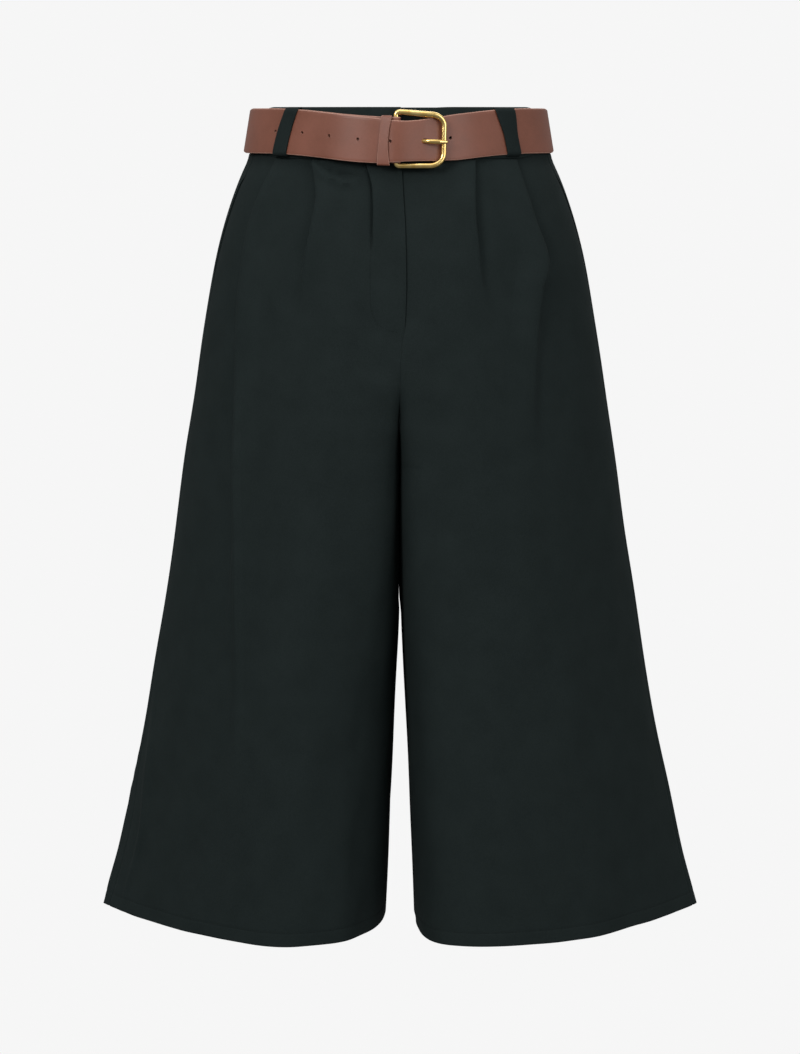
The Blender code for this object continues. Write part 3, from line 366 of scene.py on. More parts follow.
def fold_relief(side, face, section, u):
    """Lift of the pleats at places u, and how far a tight lip rolls over sideways."""
    lift, shift = np.zeros_like(u), np.zeros_like(u)
    for fold in FOLDS[side, face]:
        x, rise, lip = (float(curve(fold, name, section.z)) for name in ("x", "rise", "lip"))
        rise *= FOLD_DEPTH
        away = (u - section.u_at_x(x, face)) * face
        across = np.clip(-away / lip, 0.0, 1.0)
        lift += rise * np.where(away >= 0.0, bell(away, FOLD_RUN),
                                np.where(away > -lip, 1.0 - (1.0 + FOLD_TROUGH) * ease(across),
                                         -FOLD_TROUGH * bell(away + lip, FOLD_TROUGH_RUN)))
        tight = ease((ROLL_OPEN - lip) / (ROLL_OPEN - ROLL_TIGHT)) * ease(rise / lip)
        lift -= CREVICE * tight * bell(across - CREVICE_AT, 1.0 - CREVICE_AT)
        shift -= face * lip * ROLL * tight * np.sin(math.tau * across)
    return lift, shift


def crease_relief(side, face, section, u):
    """Lift of the soft creases at places u."""
    lift = np.zeros_like(u)
    for crease in CREASES[side, face]:
        if not crease[-1].z <= section.z <= crease[0].z:
            continue
        x, height, width = (float(curve(crease, k, section.z)) for k in ("x", "height", "width"))
        lift += height * gauss(u - section.u_at_x(x, face), width)
    return lift


def drag_relief(section, u):
    """Lift of the cloth dragged up between two pleats: up below the line and in above it."""
    if not DRAG[2].z - DRAG_REACH * DRAG_WIDTH < section.z < BAND_BOTTOM:
        return np.zeros_like(u)
    x = np.interp(u, section.u, section.points[:, 0])
    along = np.clip(x, DRAG[-1].x, DRAG[0].x)
    z, height = (curve(DRAG[::-1], name, along) for name in ("z", "height"))
    across = (section.z - z) / DRAG_WIDTH
    fade = gauss(x - along, DRAG_WIDTH)
    return -height * fade * across * np.exp(0.5 - across ** 2)


def wave_relief(side, section, u):
    """Low uneven waves, different on the two sides."""
    lift = np.zeros_like(u)
    for wave in WAVES:
        lift += wave.height * np.sin(math.tau * (u / wave.along + side * section.z / wave.down)
                                     + wave.phase * (2.0 + side))
    return lift * ease((WAVES_SHARE_TOP - section.z) / WAVES_GROW)


def fly_edge_u(side, section):
    """The place u of the right front's edge, on either side of the centre."""
    return section.front_seam - side * float(curve(FLY_EDGE, "x", section.z))


def pocket_open(z):
    """How far open the mouth in a side seam is at one height, from 0 to 1."""
    return float(ease((POCKET_TOP - z) / POCKET_FADE) * ease((z - POCKET_END) / POCKET_FADE))


def side_seam_u(side, z):
    return float(curve(SIDE_SEAM[side], "u", z))


def panel_ends(side, face, section):
    """The places u of a panel's two edges at one height, lower first."""
    if face == FRONT:
        edge = fly_edge_u(side, section) + OVERLAP
        if side == LEFT:
            edge += FLY_UNDERLAP * float(ease((section.z - FLY_UNDERLAP_END) / FLY_STEP_FADE))
        return side_seam_u(side, section.z) - OVERLAP, edge
    seam = side_seam_u(side, section.z) - POCKET_SHOWS * pocket_open(section.z)
    return section.back_seam - OVERLAP, seam + OVERLAP


def surface(side, face, section, u):
    """Lift and sideways shift of the outer face at places u of one height."""
    lift, shift = fold_relief(side, face, section, u)
    lift += crease_relief(side, face, section, u) + wave_relief(side, section, u)
    if (side, face) == (RIGHT, FRONT):
        lift += drag_relief(section, u)
    low, high = panel_ends(side, face, section)
    if face == BACK:                    # the two sides meet along the seam
        lift *= ease((u - low) / SEAM_CALM)
    inner_seam, outer_seam = (high, low) if face == FRONT else (low, high)
    closed = 1.0 - float(ease((DIVE_Z + SEAM_DIP_FADE - section.z) / SEAM_DIP_FADE))
    sewn = 1.0 - pocket_open(section.z)
    lift -= SEAM_DIP * (sewn * gauss(u - outer_seam, SEAM_DIP_WIDTH)
                        + closed * gauss(u - inner_seam, SEAM_DIP_WIDTH))
    lift -= HEM_DENT * gauss(section.z - HEM_Z - HEM_DEPTH, HEM_DENT_WIDTH)
    if face == FRONT:
        fade = float(ease((section.z - FLY_STEP_END) / FLY_STEP_FADE))
        past = u - fly_edge_u(side, section)
        lift -= side * FLY_STEP * fade * bell(np.minimum(past, 0.0), FLY_STEP_REACH)
        if side == RIGHT:               # the top edge stays up: no seam there, but a folded edge
            lift += 0.5 * SEAM_DIP * gauss(u - high, SEAM_DIP_WIDTH) * fade * closed
        else:
            lift -= FLY_UNDERLAP_DROP * ease(past / FLY_DROP_RUN + 0.5)
    return lift, shift


# ------------------------------------------------------------------ meshes
SHARP = math.radians(40.0)


def closed_shell(name, outer, inner, uv, material):
    """A closed skin between two grids of points, with a map in metres."""
    outer, inner, uv = np.array(outer), np.array(inner), np.array(uv)
    rows, columns = outer.shape[:2]
    points = np.concatenate([outer.reshape(-1, 3), inner.reshape(-1, 3)])
    index = np.arange(rows * columns).reshape(rows, columns)
    quad = np.stack([index[:-1, :-1], index[:-1, 1:], index[1:, 1:], index[1:, :-1]], axis=-1)
    quad = quad.reshape(-1, 4)
    rim = np.concatenate([index[0, :-1], index[:-1, -1], index[-1, :0:-1], index[:0:-1, 0]])
    onward = np.roll(rim, -1)
    offset = rows * columns
    edge = np.stack([rim, rim + offset, onward + offset, onward], axis=-1)
    faces = np.concatenate([quad, quad[:, ::-1] + offset, edge])
    return mesh_object(name, points, faces, np.concatenate([uv.reshape(-1, 2)] * 2), material)


def mesh_object(name, points, faces, uv, material):
    """A smooth-shaded object on these points, with its faces out; uv has a place for each point."""
    mesh = bpy.data.meshes.new(name)
    mesh.from_pydata([tuple(p) for p in points], [], [tuple(int(i) for i in f) for f in faces])
    if signed_volume(mesh) < 0.0:
        mesh.flip_normals()
    if uv is not None:
        layer = mesh.uv_layers.new(name="cloth")
        corners = np.zeros(len(mesh.loops), dtype=np.int32)
        mesh.loops.foreach_get("vertex_index", corners)
        layer.data.foreach_set("uv", np.asarray(uv, dtype=np.float32)[corners].ravel())
    mesh.shade_smooth()
    mesh.set_sharp_from_angle(angle=SHARP)
    mesh.materials.append(material)
    made = bpy.data.objects.new(name, mesh)
    bpy.context.scene.collection.objects.link(made)
    return made


def signed_volume(mesh):
    mesh.calc_loop_triangles()
    corners = np.zeros(len(mesh.loop_triangles) * 3, dtype=np.int32)
    mesh.loop_triangles.foreach_get("vertices", corners)
    places = np.zeros(len(mesh.vertices) * 3)
    mesh.vertices.foreach_get("co", places)
    a, b, c = places.reshape(-1, 3)[corners.reshape(-1, 3)].transpose(1, 0, 2)
    return float(np.einsum("ij,ij->i", a, np.cross(b, c)).sum())


def attach(piece, slot, *nodes):
    """Set a piece on the body and hide the nodes that it stands for; slot is not used."""
    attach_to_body(piece, "root")
    if nodes:
        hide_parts(*nodes)
    return piece


# ------------------------------------------------------------------ materials
def node_maker(material):
    tree = material.node_tree

    def add(kind, inputs=None, **settings):
        node = tree.nodes.new(kind)
        for key, value in settings.items():
            setattr(node, key, value)
        for key, value in (inputs or {}).items():
            if isinstance(value, bpy.types.NodeSocket):
                tree.links.new(value, node.inputs[key])
            else:
                node.inputs[key].default_value = value
        return node

    return add


def new_material(name):
    material = bpy.data.materials.new(name)
    material.use_nodes = True
    shader = material.node_tree.nodes["Principled BSDF"]

    def link(output, socket):
        material.node_tree.links.new(output, shader.inputs[socket])

    return material, shader, node_maker(material), link


def two_tone(add, factor, dark, light, low, high):
    """A colour between two tones, as factor runs from low to high."""
    ramp = add("ShaderNodeValToRGB", {"Fac": factor})
    ramp.color_ramp.elements[0].position, ramp.color_ramp.elements[1].position = low, high
    ramp.color_ramp.elements[0].color, ramp.color_ramp.elements[1].color = dark, light
    return ramp.outputs["Color"]


def blend(add, share, first, second):
    mix = add("ShaderNodeMix", {"Factor": share, "A": first, "B": second}, data_type="FLOAT")
    return mix.outputs["Result"]


def relief(add, height, strength, distance):
    bump = add("ShaderNodeBump", {"Height": height, "Strength": strength, "Distance": distance})
    return bump.outputs["Normal"]


def cloth_material(name, dark, light):
    """Matt crepe: a fine twill by the cloth's own map, a crimped surface and a soft sheen."""
    material, shader, add, link = new_material(name)
    mapped = add("ShaderNodeUVMap", uv_map="cloth").outputs["UV"]
    turned = add("ShaderNodeMapping", {"Vector": mapped, "Rotation": (0.0, 0.0, math.radians(58.0))})
    twill = add("ShaderNodeTexWave", {"Vector": turned.outputs["Vector"], "Scale": 320.0,
                                      "Distortion": 1.2, "Detail": 1.0}, bands_direction="X")
    place = add("ShaderNodeTexCoord").outputs["Object"]
    crimp = add("ShaderNodeTexNoise", {"Vector": place, "Scale": 900.0, "Detail": 2.0})
    patch = add("ShaderNodeTexNoise", {"Vector": place, "Scale": 45.0, "Detail": 3.0})
    mixed = blend(add, 0.60, patch.outputs["Fac"], crimp.outputs["Fac"])
    shader.inputs["Base Color"].default_value = light
    link(two_tone(add, mixed, dark, light, 0.35, 0.65), "Base Color")
    height = blend(add, 0.5, twill.outputs["Fac"], crimp.outputs["Fac"])
    link(relief(add, height, 0.35, 0.00025), "Normal")
    shader.inputs["Roughness"].default_value = 0.82
    shader.inputs["Specular IOR Level"].default_value = 0.06
    shader.inputs["Sheen Weight"].default_value = 0.012
    shader.inputs["Sheen Roughness"].default_value = 0.45
    shader.inputs["Sheen Tint"].default_value = (0.55, 0.68, 0.66, 1.0)
    return material


def leather_material(name, dark, light, roughness):
    """Smooth leather: pebbled grain, fine pores and a slow drift of tone."""
    material, shader, add, link = new_material(name)
    place = add("ShaderNodeTexCoord").outputs["Object"]
    drift = add("ShaderNodeTexNoise", {"Vector": place, "Scale": 34.0, "Detail": 4.0, "Roughness": 0.6})
    speck = add("ShaderNodeTexNoise", {"Vector": place, "Scale": 700.0, "Detail": 2.0})
    mixed = blend(add, 0.25, drift.outputs["Fac"], speck.outputs["Fac"])
    link(two_tone(add, mixed, dark, light, 0.36, 0.64), "Base Color")
    grain = add("ShaderNodeTexVoronoi", {"Vector": place, "Scale": 1150.0}, feature="SMOOTH_F1")
    height = blend(add, 0.4, grain.outputs["Distance"], speck.outputs["Fac"])
    link(relief(add, height, 0.25, 0.00018), "Normal")
    rough = add("ShaderNodeMapRange", {"Value": drift.outputs["Fac"], "From Min": 0.3, "From Max": 0.7,
                                       "To Min": roughness - 0.05, "To Max": roughness + 0.07})
    link(rough.outputs["Result"], "Roughness")
    shader.inputs["Specular IOR Level"].default_value = 0.45
    return material


def brass_material(name):
    """Polished brass with faint rubbing marks and a little darker tone in its patches."""
    material, shader, add, link = new_material(name)
    place = add("ShaderNodeTexCoord").outputs["Object"]
    patch = add("ShaderNodeTexNoise", {"Vector": place, "Scale": 160.0, "Detail": 4.0})
    link(two_tone(add, patch.outputs["Fac"], (0.84, 0.56, 0.17, 1.0), (0.95, 0.70, 0.28, 1.0), 0.35, 0.62),
         "Base Color")
    fine = add("ShaderNodeTexNoise", {"Vector": place, "Scale": 1400.0, "Detail": 2.0})
    link(relief(add, fine.outputs["Fac"], 0.08, 0.0001), "Normal")
    rough = add("ShaderNodeMapRange", {"Value": patch.outputs["Fac"], "From Min": 0.3, "From Max": 0.7,
                                       "To Min": 0.17, "To Max": 0.25})
    link(rough.outputs["Result"], "Roughness")
    shader.inputs["Metallic"].default_value = 1.0
    return material


CLOTH = cloth_material("crepe", (0.0116, 0.0168, 0.0166, 1.0), (0.0153, 0.0217, 0.0215, 1.0))
# The pocket piece is the crepe made darker: painted shade for where it sits back inside the pocket mouth.
POCKET_CLOTH_SHADED = cloth_material("pocket_crepe_painted_shade", (0.0108, 0.0157, 0.0155, 1.0), (0.0140, 0.0199, 0.0196, 1.0))
# The stitching thread, darker than the crepe: its darkness is painted shade that stands in for the shadow
# along the stitch lines.
THREAD_SHADED = cloth_material("thread", (0.0078, 0.0110, 0.0108, 1.0), (0.0110, 0.0152, 0.0150, 1.0))
LEATHER_SKIN = leather_material("leather", (0.174, 0.059, 0.034, 1.0), (0.214, 0.075, 0.046, 1.0), 0.43)
# The leather's cut edges: a paler raw-edge colour, lightened further as a painted highlight where the rounded
# edges catch the light.
LEATHER_EDGE_HIGHLIGHT = leather_material("leather_edge_highlight", (0.30, 0.15, 0.11, 1.0), (0.40, 0.21, 0.16, 1.0), 0.6)
BRASS = brass_material("brass")


# ------------------------------------------------------------------ panels of cloth
def panel_rows():
    """(z, inset) down a panel: inset is how far the rounded edge has drawn in there."""
    top, stitched = BAND_BOTTOM - PRESSED, HEM_Z + HEM_DEPTH
    rows = [(z, 0.0) for z in np.linspace(BAND_BOTTOM + BAND_RISE + PANEL_UNDER_BAND, top, PRESSED_ROWS)[:-1]]
    # how far down, and at what spacing: fine where the crotch turns and where the hem is stitched
    for bottom, step in ((DIVE_Z, PANEL_ROW), (CROTCH_Z + 0.012, 0.8 * PANEL_ROW), (CROTCH_Z + 0.003, 0.0015),
                         (CROTCH_Z, 0.0005), (CROTCH_Z - 0.004, 0.001), (stitched + 0.004, PANEL_ROW),
                         (stitched - 0.004, 0.0005), (HEM_Z + EDGE_ROUND, 0.5 * PANEL_ROW)):
        count = max(1, round((top - bottom) / step))
        rows += [(top + (bottom - top) * k / count, 0.0) for k in range(count)]
        top = bottom
    rows += [(HEM_Z + EDGE_ROUND * (1.0 - math.sin(math.radians(a))),
              EDGE_ROUND * (1.0 - math.cos(math.radians(a)))) for a in (0.0, 45.0, 90.0)]
    return rows


def panel_columns(side, face):
    """How many mesh columns each stretch between a panel's stops has, from where it is wider."""
    reach = np.max([np.diff(panel_stops(side, face, Section(z))) for z in (HEM_Z, DIVE_Z)], axis=0)
    return np.clip(np.round(reach / PANEL_COLUMN), PANEL_LEAST, PANEL_MOST).astype(int).tolist()


def panel_stops(side, face, section):
    """Places u in rising order: the panel's edges, its folds' edges and lips, and one between."""
    low, high = panel_ends(side, face, section)
    stops, marks = [low, low + STOP_IN], []
    for fold in FOLDS[side, face]:
        edge = section.u_at_x(float(curve(fold, "x", section.z)), face)
        marks += sorted((edge, edge - face * float(curve(fold, "lip", section.z))))
    stops += sorted(marks) if face == BACK else marks
    if face == FRONT:
        crest = section.u_at_x(level("crest_front", section.z), FRONT)
        stops.append(max(crest, stops[-1] + STOP_PAST))
    else:
        stops.append(min(BACK_STOP, high - BACK_STOP_IN))
    stops += [high - STOP_IN, high]
    for k in range(1, len(stops)):
        stops[k] = max(stops[k], stops[k - 1] + STOP_APART)
    stops[-1] = high
    return stops


def panel(name, side, face):
    """One front or back piece, from under the waistband to its turned-up hem."""
    counts = panel_columns(side, face)
    outer, inner, uv = [], [], []
    for z, inset in panel_rows():
        section = Section(z)
        stops = panel_stops(side, face, section)
        u = np.concatenate([np.linspace(a, b, n, endpoint=False)
                            for a, b, n in zip(stops, stops[1:], counts)] + [[stops[-1]]])
        lift, shift = surface(side, face, section, u)
        under = np.full_like(u, CLOTH_WALL)
        under += HEM_TURNED * float(ease((HEM_Z + HEM_DEPTH + HEM_TURNED_OVER - z) / HEM_TURNED_RUN))
        if z > BAND_BOTTOM - PRESSED:   # pressed flat behind the waistband
            edge = band_bottom(np.interp(u, section.u, section.points[:, 0]))
            share = ease((z - edge + PRESSED) / PRESSED)
            lift = lift * (1.0 - share) - PRESSED_LIFT * share
        outer.append(section.place(side, u + shift, lift - inset))
        inner.append(section.place(side, u, np.minimum(lift, INNER_LIFT) - under + inset))
        uv.append(np.stack([u, np.full_like(u, z)], axis=-1))
    return closed_shell(name, outer, inner, uv, CLOTH)


def band_bottom(x):
    """Height of the waistband's lower edge: it stands a little higher at the two sides."""
    return BAND_BOTTOM + BAND_RISE * ease((np.abs(x) - BAND_RISE_X) / BAND_RISE_RUN)


def flat_cut(side, face):
    """Width, length and area of what shows of a panel, laid flat."""
    widths, middle = [], []
    for z in np.linspace(BAND_BOTTOM, HEM_Z, CUT_ROWS):
        section = Section(z)
        low, high = panel_ends(side, face, section)
        widths.append(high - low)
        middle.append(section.place(side, np.array([0.5 * (low + high)]), 0.0)[0])
    fall = np.linalg.norm(np.diff(middle, axis=0), axis=1)
    area = float((0.5 * (np.array(widths[:-1]) + widths[1:]) * fall).sum())
    return float(max(widths)), float(fall.sum()), area


for side_name, side_sign in SIDES:
    for face_name, face_sign in (("front", FRONT), ("back", BACK)):
        node = f"{side_name}_{face_name}"
        piece = panel("cloth_" + node, side_sign, face_sign)
        attach(piece, "cloth", node)
        width, length, area = flat_cut(side_sign, face_sign)


# ------------------------------------------------------------------ stitches
STITCH, STITCH_GAP, THREAD_R = 0.0023, 0.0008, 0.00020
HEM_RUN_IN, HEM_RUN_POINTS = 0.001, 160     # the hem's stitches stop this far from a panel's edge
FLY_RUN_STEP = 0.002
STITCH_AROUND = 6
STITCH_SWELL = ((0.0, 0.15), (0.12, 0.8), (0.3, 1.0), (0.7, 1.0), (0.88, 0.8), (1.0, 0.15))
# The fly's stitching, as (x, z) on the right front: down beside the edge, then round to it.
FLY_STITCHES = ((0.0240, -0.0300), (0.0242, -0.1250), (0.0239, -0.1380), (0.0215, -0.1480),
                (0.0174, -0.1540), (0.0090, -0.1585), (0.0000, -0.1600))


def stitches(name, runs):
    """Short rounded threads along runs of points in space, in one mesh."""
    shape = [(math.cos(a), math.sin(a)) for a in np.linspace(0.0, math.tau, STITCH_AROUND, endpoint=False)]
    ring = np.arange(STITCH_AROUND)
    onward = (ring + 1) % STITCH_AROUND
    skin = np.stack([ring, onward, onward + STITCH_AROUND, ring + STITCH_AROUND], axis=-1)
    points, faces = [], []
    for run in runs:
        path = resample(run, STITCH / 4.0, False)
        every = round((STITCH + STITCH_GAP) / STITCH * 4.0)
        for k in range(0, len(path) - 4, every):
            start, end = path[k], path[k + 4]
            ahead = (end - start) / np.linalg.norm(end - start)
            side = np.cross(ahead, (0.0, 0.0, 1.0) if abs(ahead[2]) < 0.8 else (0.0, 1.0, 0.0))
            side /= np.linalg.norm(side)
            out = np.cross(side, ahead)
            first = len(points)
            for along, swell in STITCH_SWELL:
                points += [start + (end - start) * along + THREAD_R * swell * (a * side + b * out)
                           for a, b in shape]
            for low in range(first, len(points) - STITCH_AROUND, STITCH_AROUND):
                faces += list(low + skin)
            faces += [first + ring[::-1], len(points) - STITCH_AROUND + ring]
    # in the darkened thread colour, which holds painted shade for the stitch lines
    return mesh_object(name, points, faces, np.zeros((len(points), 2)), THREAD_SHADED)


def on_cloth(side, face, section, u):
    """Points on the outer face of a panel at places u of one height."""
    lift, shift = surface(side, face, section, u)
    return section.place(side, u + shift, lift)


def hem_run(side, face):
    section = Section(HEM_Z + HEM_DEPTH)
    low, high = panel_ends(side, face, section)
    return on_cloth(side, face, section, np.linspace(low + HEM_RUN_IN, high - HEM_RUN_IN, HEM_RUN_POINTS))


def fly_run():
    points = []
    for x, z in resample(FLY_STITCHES, FLY_RUN_STEP, False):
        section = Section(z)
        points.append(on_cloth(RIGHT, FRONT, section, np.array([section.u_at_x(x, FRONT)]))[0])
    return points


for side_name, side_sign in SIDES:
    attach(stitches(f"thread_{side_name}_hem", [hem_run(side_sign, face) for face in (FRONT, BACK)]), "cloth")
attach(stitches("thread_fly", [fly_run()]), "cloth")


# ------------------------------------------------------------------ the waist, by distance
# Distances run round the waist from the centre front, first round the wearer's right side.
BAND_SECTIONS = (Section(BAND_BOTTOM), Section(BAND_TOP))
HALF_FRONT, HALF_BACK = BAND_SECTIONS[0].front_seam, -BAND_SECTIONS[0].back_seam
GIRTH = 2.0 * (HALF_FRONT + HALF_BACK)
BAND_START, BAND_OVERLAP, BAND_RAMP = -0.0006, 0.036, 0.060
BAND_STATIONS = 420
BAND_SINK, BAND_SINK_RUN = 0.0018, 0.0460       # the lower band end sinks this much at the closure
BAND_DROOP, BAND_DROOP_X, BAND_DROOP_RUN = 0.0020, 0.1070, 0.0100   # its top is lower at the sides
BELT_HALF = 0.0185
BELT_SIDE, BELT_SIDE_RUN, BELT_SIDE_NARROW = 0.1680, 0.0150, 0.0012     # narrower at the two sides
BELT_SIDE_Z, BELT_SAG, BELT_SAG_HALF = 0.0015, 0.0070, 0.1080
BELT_BACK_DROP, BELT_BACK_RUN = 0.0024, 0.0600


def waist_place(distance, lift, z):
    """Points on the waistband's slope, carried on straight past its two edges."""
    distance, lift, z = np.broadcast_arrays(np.asarray(distance, float), lift, z)
    distance = np.mod(distance, GIRTH)
    right = distance < HALF_FRONT + HALF_BACK
    u = np.where(right, HALF_FRONT - distance, distance - HALF_FRONT - 2.0 * HALF_BACK)
    side = np.where(right, RIGHT, LEFT)
    ends = []
    for section in BAND_SECTIONS:
        at = u * np.where(u > 0.0, section.front_seam / HALF_FRONT, -section.back_seam / HALF_BACK)
        ends.append(section.place(side, at, lift))
    up = ((z - BAND_BOTTOM) / (BAND_TOP - BAND_BOTTOM))[..., None]
    places = ends[0] + (ends[1] - ends[0]) * up
    places[..., 2] = z
    return places


def belt_middle(distance):
    """Height of the strap's middle: it dips in front."""
    place = waist_place(distance, 0.0, 0.0)
    sag = BELT_SAG * bell(place[..., 0], BELT_SAG_HALF) * (place[..., 1] < 0.0)
    return BELT_SIDE_Z - sag - BELT_BACK_DROP * ease(place[..., 1] / BELT_BACK_RUN)


def band_over(distance):
    """How far the band's upper end stands out, where it laps over the lower one."""
    return (1.0 - ease((distance - BAND_OVERLAP) / BAND_RAMP)) * (BAND_OUTER - BAND_INNER + CLEAR)


def closed_tube(name, rings, material, uv=None, loop=False):
    """A skin through rings of points, closed round each ring and capped or joined at its ends."""
    rings = np.asarray(rings, float)
    rows, around = rings.shape[:2]
    index = np.arange(rows * around).reshape(rows, around)
    onward = np.roll(index, -1, axis=1)
    follow = np.roll(index, -1, axis=0), np.roll(onward, -1, axis=0)
    last = rows if loop else rows - 1
    faces = np.stack([index, onward, follow[1], follow[0]], axis=-1)[:last].reshape(-1, 4).tolist()
    if not loop:
        faces += [index[0, ::-1].tolist(), index[-1].tolist()]
    return mesh_object(name, rings.reshape(-1, 3), faces, uv, material)


def rounded_profile(half_width, half_height, corner, steps, flats):
    """A rounded rectangle as (across, along) points, from its lower right corner anticlockwise."""
    points = []
    for k, (sx, sy) in enumerate(((1, -1), (1, 1), (-1, 1), (-1, -1))):
        centre = np.array((sx * (half_width - corner), sy * (half_height - corner)))
        start = math.radians(-90.0 + 90.0 * k)
        arc = [centre + corner * np.array((math.cos(start + math.radians(90.0) * n / steps),
                                           math.sin(start + math.radians(90.0) * n / steps)))
               for n in range(steps + 1)]
        if points:
            points += [points[-1] + (arc[0] - points[-1]) * n / flats for n in range(1, flats)]
        points += arc
    return np.array(points + [points[-1] + (points[0] - points[-1]) * n / flats for n in range(1, flats)])


def waistband():
    """One folded strip whose right end laps over its left end at the centre front."""
    distance = np.linspace(BAND_START, BAND_START + GIRTH + BAND_OVERLAP, BAND_STATIONS)
    thick, middle = 0.5 * (BAND_OUTER - BAND_INNER), 0.5 * (BAND_OUTER + BAND_INNER)
    profile = rounded_profile(thick, 0.5 * (BAND_TOP - BAND_BOTTOM), 0.0011, 4, 6)
    rings, uv = [], []
    for d in distance:
        past = GIRTH - d if d > 0.5 * GIRTH else -d
        sink = BAND_SINK * float(1.0 - ease(past / BAND_SINK_RUN)) * (d > 0.5 * GIRTH)
        share = (profile[:, 1] - BAND_BOTTOM) / (BAND_TOP - BAND_BOTTOM)
        lift = middle + profile[:, 0] + float(band_over(d))
        aside = abs(float(waist_place(d, 0.0, 0.0)[0]))
        z = profile[:, 1] - (sink + BAND_DROOP * float(ease((aside - BAND_DROOP_X) / BAND_DROOP_RUN))) * share
        z += (float(band_bottom(aside)) - BAND_BOTTOM) * (1.0 - share)
        rings.append(waist_place(d, lift, z))
        uv.append(np.stack([np.full_like(z, d), z], axis=-1))
    return closed_tube("cloth_waistband", rings, CLOTH, np.array(uv).reshape(-1, 2))


def pocket(name, side):
    """The piece behind a pocket mouth, under the edges of the front and the back."""
    outer, inner, uv = [], [], []
    for z in np.linspace(POCKET_TOP_Z, POCKET_BOTTOM_Z, POCKET_ROWS):
        section = Section(z)
        mouth = side_seam_u(side, z)
        u = np.linspace(mouth - POCKET_SHOWS - POCKET_UNDER_BACK, mouth + POCKET_UNDER_FRONT, POCKET_COLUMNS)
        lift = np.full_like(u, -CLOTH_WALL - POCKET_CLEAR)
        outer.append(section.place(side, u, lift))
        inner.append(section.place(side, u, lift - POCKET_WALL))
        uv.append(np.stack([u, np.full_like(u, z)], axis=-1))
    # in the darkened crepe, whose colour holds painted shade for the pocket mouth
    return closed_shell(name, outer, inner, uv, POCKET_CLOTH_SHADED)


attach(waistband(), "cloth", "waistband")
for side_name, side_sign in SIDES:
    piece = attach(pocket(f"cloth_{side_name}_pocket", side_sign), "pocket_cloth", f"{side_name}_pocket")


# ------------------------------------------------------------------ belt
LEATHER, LEATHER_SKIVED = 0.0019, 0.0014
BAR_R, BAR_SWELL = 0.0022, 0.14        # the bars' radius, and how much more the upper bar has
HEEL, END = 0.0034, -0.0354
TAB_LIFT, TAB_END = 0.0039, 0.0450
HEEL_LIFT = TAB_LIFT + LEATHER_SKIVED + CLEAR + BAR_R
END_LIFT = 0.0092
# The frame's corners, as (distance, z), and how far each one is rounded.
Corner = namedtuple("Corner", "distance z rounding")
BUCKLE = (Corner(HEEL, 0.0171, 0.0032), Corner(END, 0.0139, 0.0086), Corner(END + 0.0022, -0.0262, 0.0096),
          Corner(HEEL, -0.0262, 0.0030))
PRONG_R, PRONG_DROP = 0.0017, 0.0014
WRAP_SLOT = 0.0070
HOLES = (-0.0406, 0.0079, 0.0326, 0.0566, 0.0831, 0.1129)
HOLE_R = 0.0013
PRONG_HOLE = -0.0200                    # the prong comes up through an oval hole here
PRONG_HOLE_R = (0.0024, 0.0014)
FREE_START, UNDER_SPARE = -0.0690, 0.0110
TIP, TIP_LENGTH = 0.2050, 0.0300
KEEPER = (0.0078, 0.0172)
KEEPER_WALL, KEEPER_CORNER, KEEPER_EDGE = 0.0013, 0.0016, 0.0004
KEEPER_RINGS = (KEEPER[0], KEEPER[0] + KEEPER_EDGE, 0.0100, 0.0128, 0.0156, KEEPER[1] - KEEPER_EDGE,
                KEEPER[1])
KEEPER_BOW, KEEPER_LEAN = (0.0021, 0.0004), (-0.0007, -0.0014)    # at its two edges
KEEPER_DROP = 0.0006

StrapRow = namedtuple("StrapRow", "distance lift")
UNDER_STRAP = (StrapRow(HEEL, 0.0101), StrapRow(0.0184, 0.0075), StrapRow(0.0320, 0.0066),
               StrapRow(0.0460, 0.0056), StrapRow(0.0700, 0.0028), StrapRow(0.1200, 0.0007),
               StrapRow(0.6000, 0.0007))
FREE_STRAP = (StrapRow(-0.0800, 0.0007), StrapRow(-0.0580, 0.0026), StrapRow(-0.0350, 0.0037),
              StrapRow(-0.0180, 0.0082), StrapRow(HEEL, 0.0124), StrapRow(0.0184, 0.0098),
              StrapRow(0.0320, 0.0089), StrapRow(0.0460, 0.0079), StrapRow(0.0700, 0.0051),
              StrapRow(0.1200, 0.0029), StrapRow(0.3000, 0.0029))
# The free length hangs a little below the length under it, and is drawn narrower in the buckle.
Hang = namedtuple("Hang", "distance drop narrow")
FREE_HANG = (Hang(-0.0700, 0.0, 0.0), Hang(-0.0480, 0.0003, 0.0), Hang(-0.0330, 0.0004, 0.0008),
             Hang(-0.0080, 0.0008, 0.0022), Hang(0.0080, 0.0010, 0.0014), Hang(0.0200, 0.0009, 0.0004),
             Hang(0.0400, 0.0005, 0.0), Hang(0.0800, 0.0, 0.0), Hang(0.3000, 0.0, 0.0))

STRAP_STEP = 0.0030
CELL, CELLS = 0.0006, 8                 # a hole sits in a patch of this many fine cells each way
PATCH = CELL * CELLS / 2.0              # half of that patch
EDGE_CORNER, EDGE_STEPS = 0.0008, 3
STRAP_ROWS = 8                          # coarse rows from the holes' patch to the strap's edge
WRAP_STEPS, TIP_STEPS = 18, 16
TIP_SWEEP, TIP_BLUNT = math.radians(86.0), 0.06


def under_lift(distance):
    return float(curve(UNDER_STRAP, "lift", distance))


def free_lift(distance):
    return float(curve(FREE_STRAP, "lift", distance))


def patch_scale(patch):
    """How much longer the prong's hole makes its patch of fine cells."""
    return PRONG_HOLE_R[0] / (HOLE_R * 2.0) if patch == PRONG_HOLE else 1.0


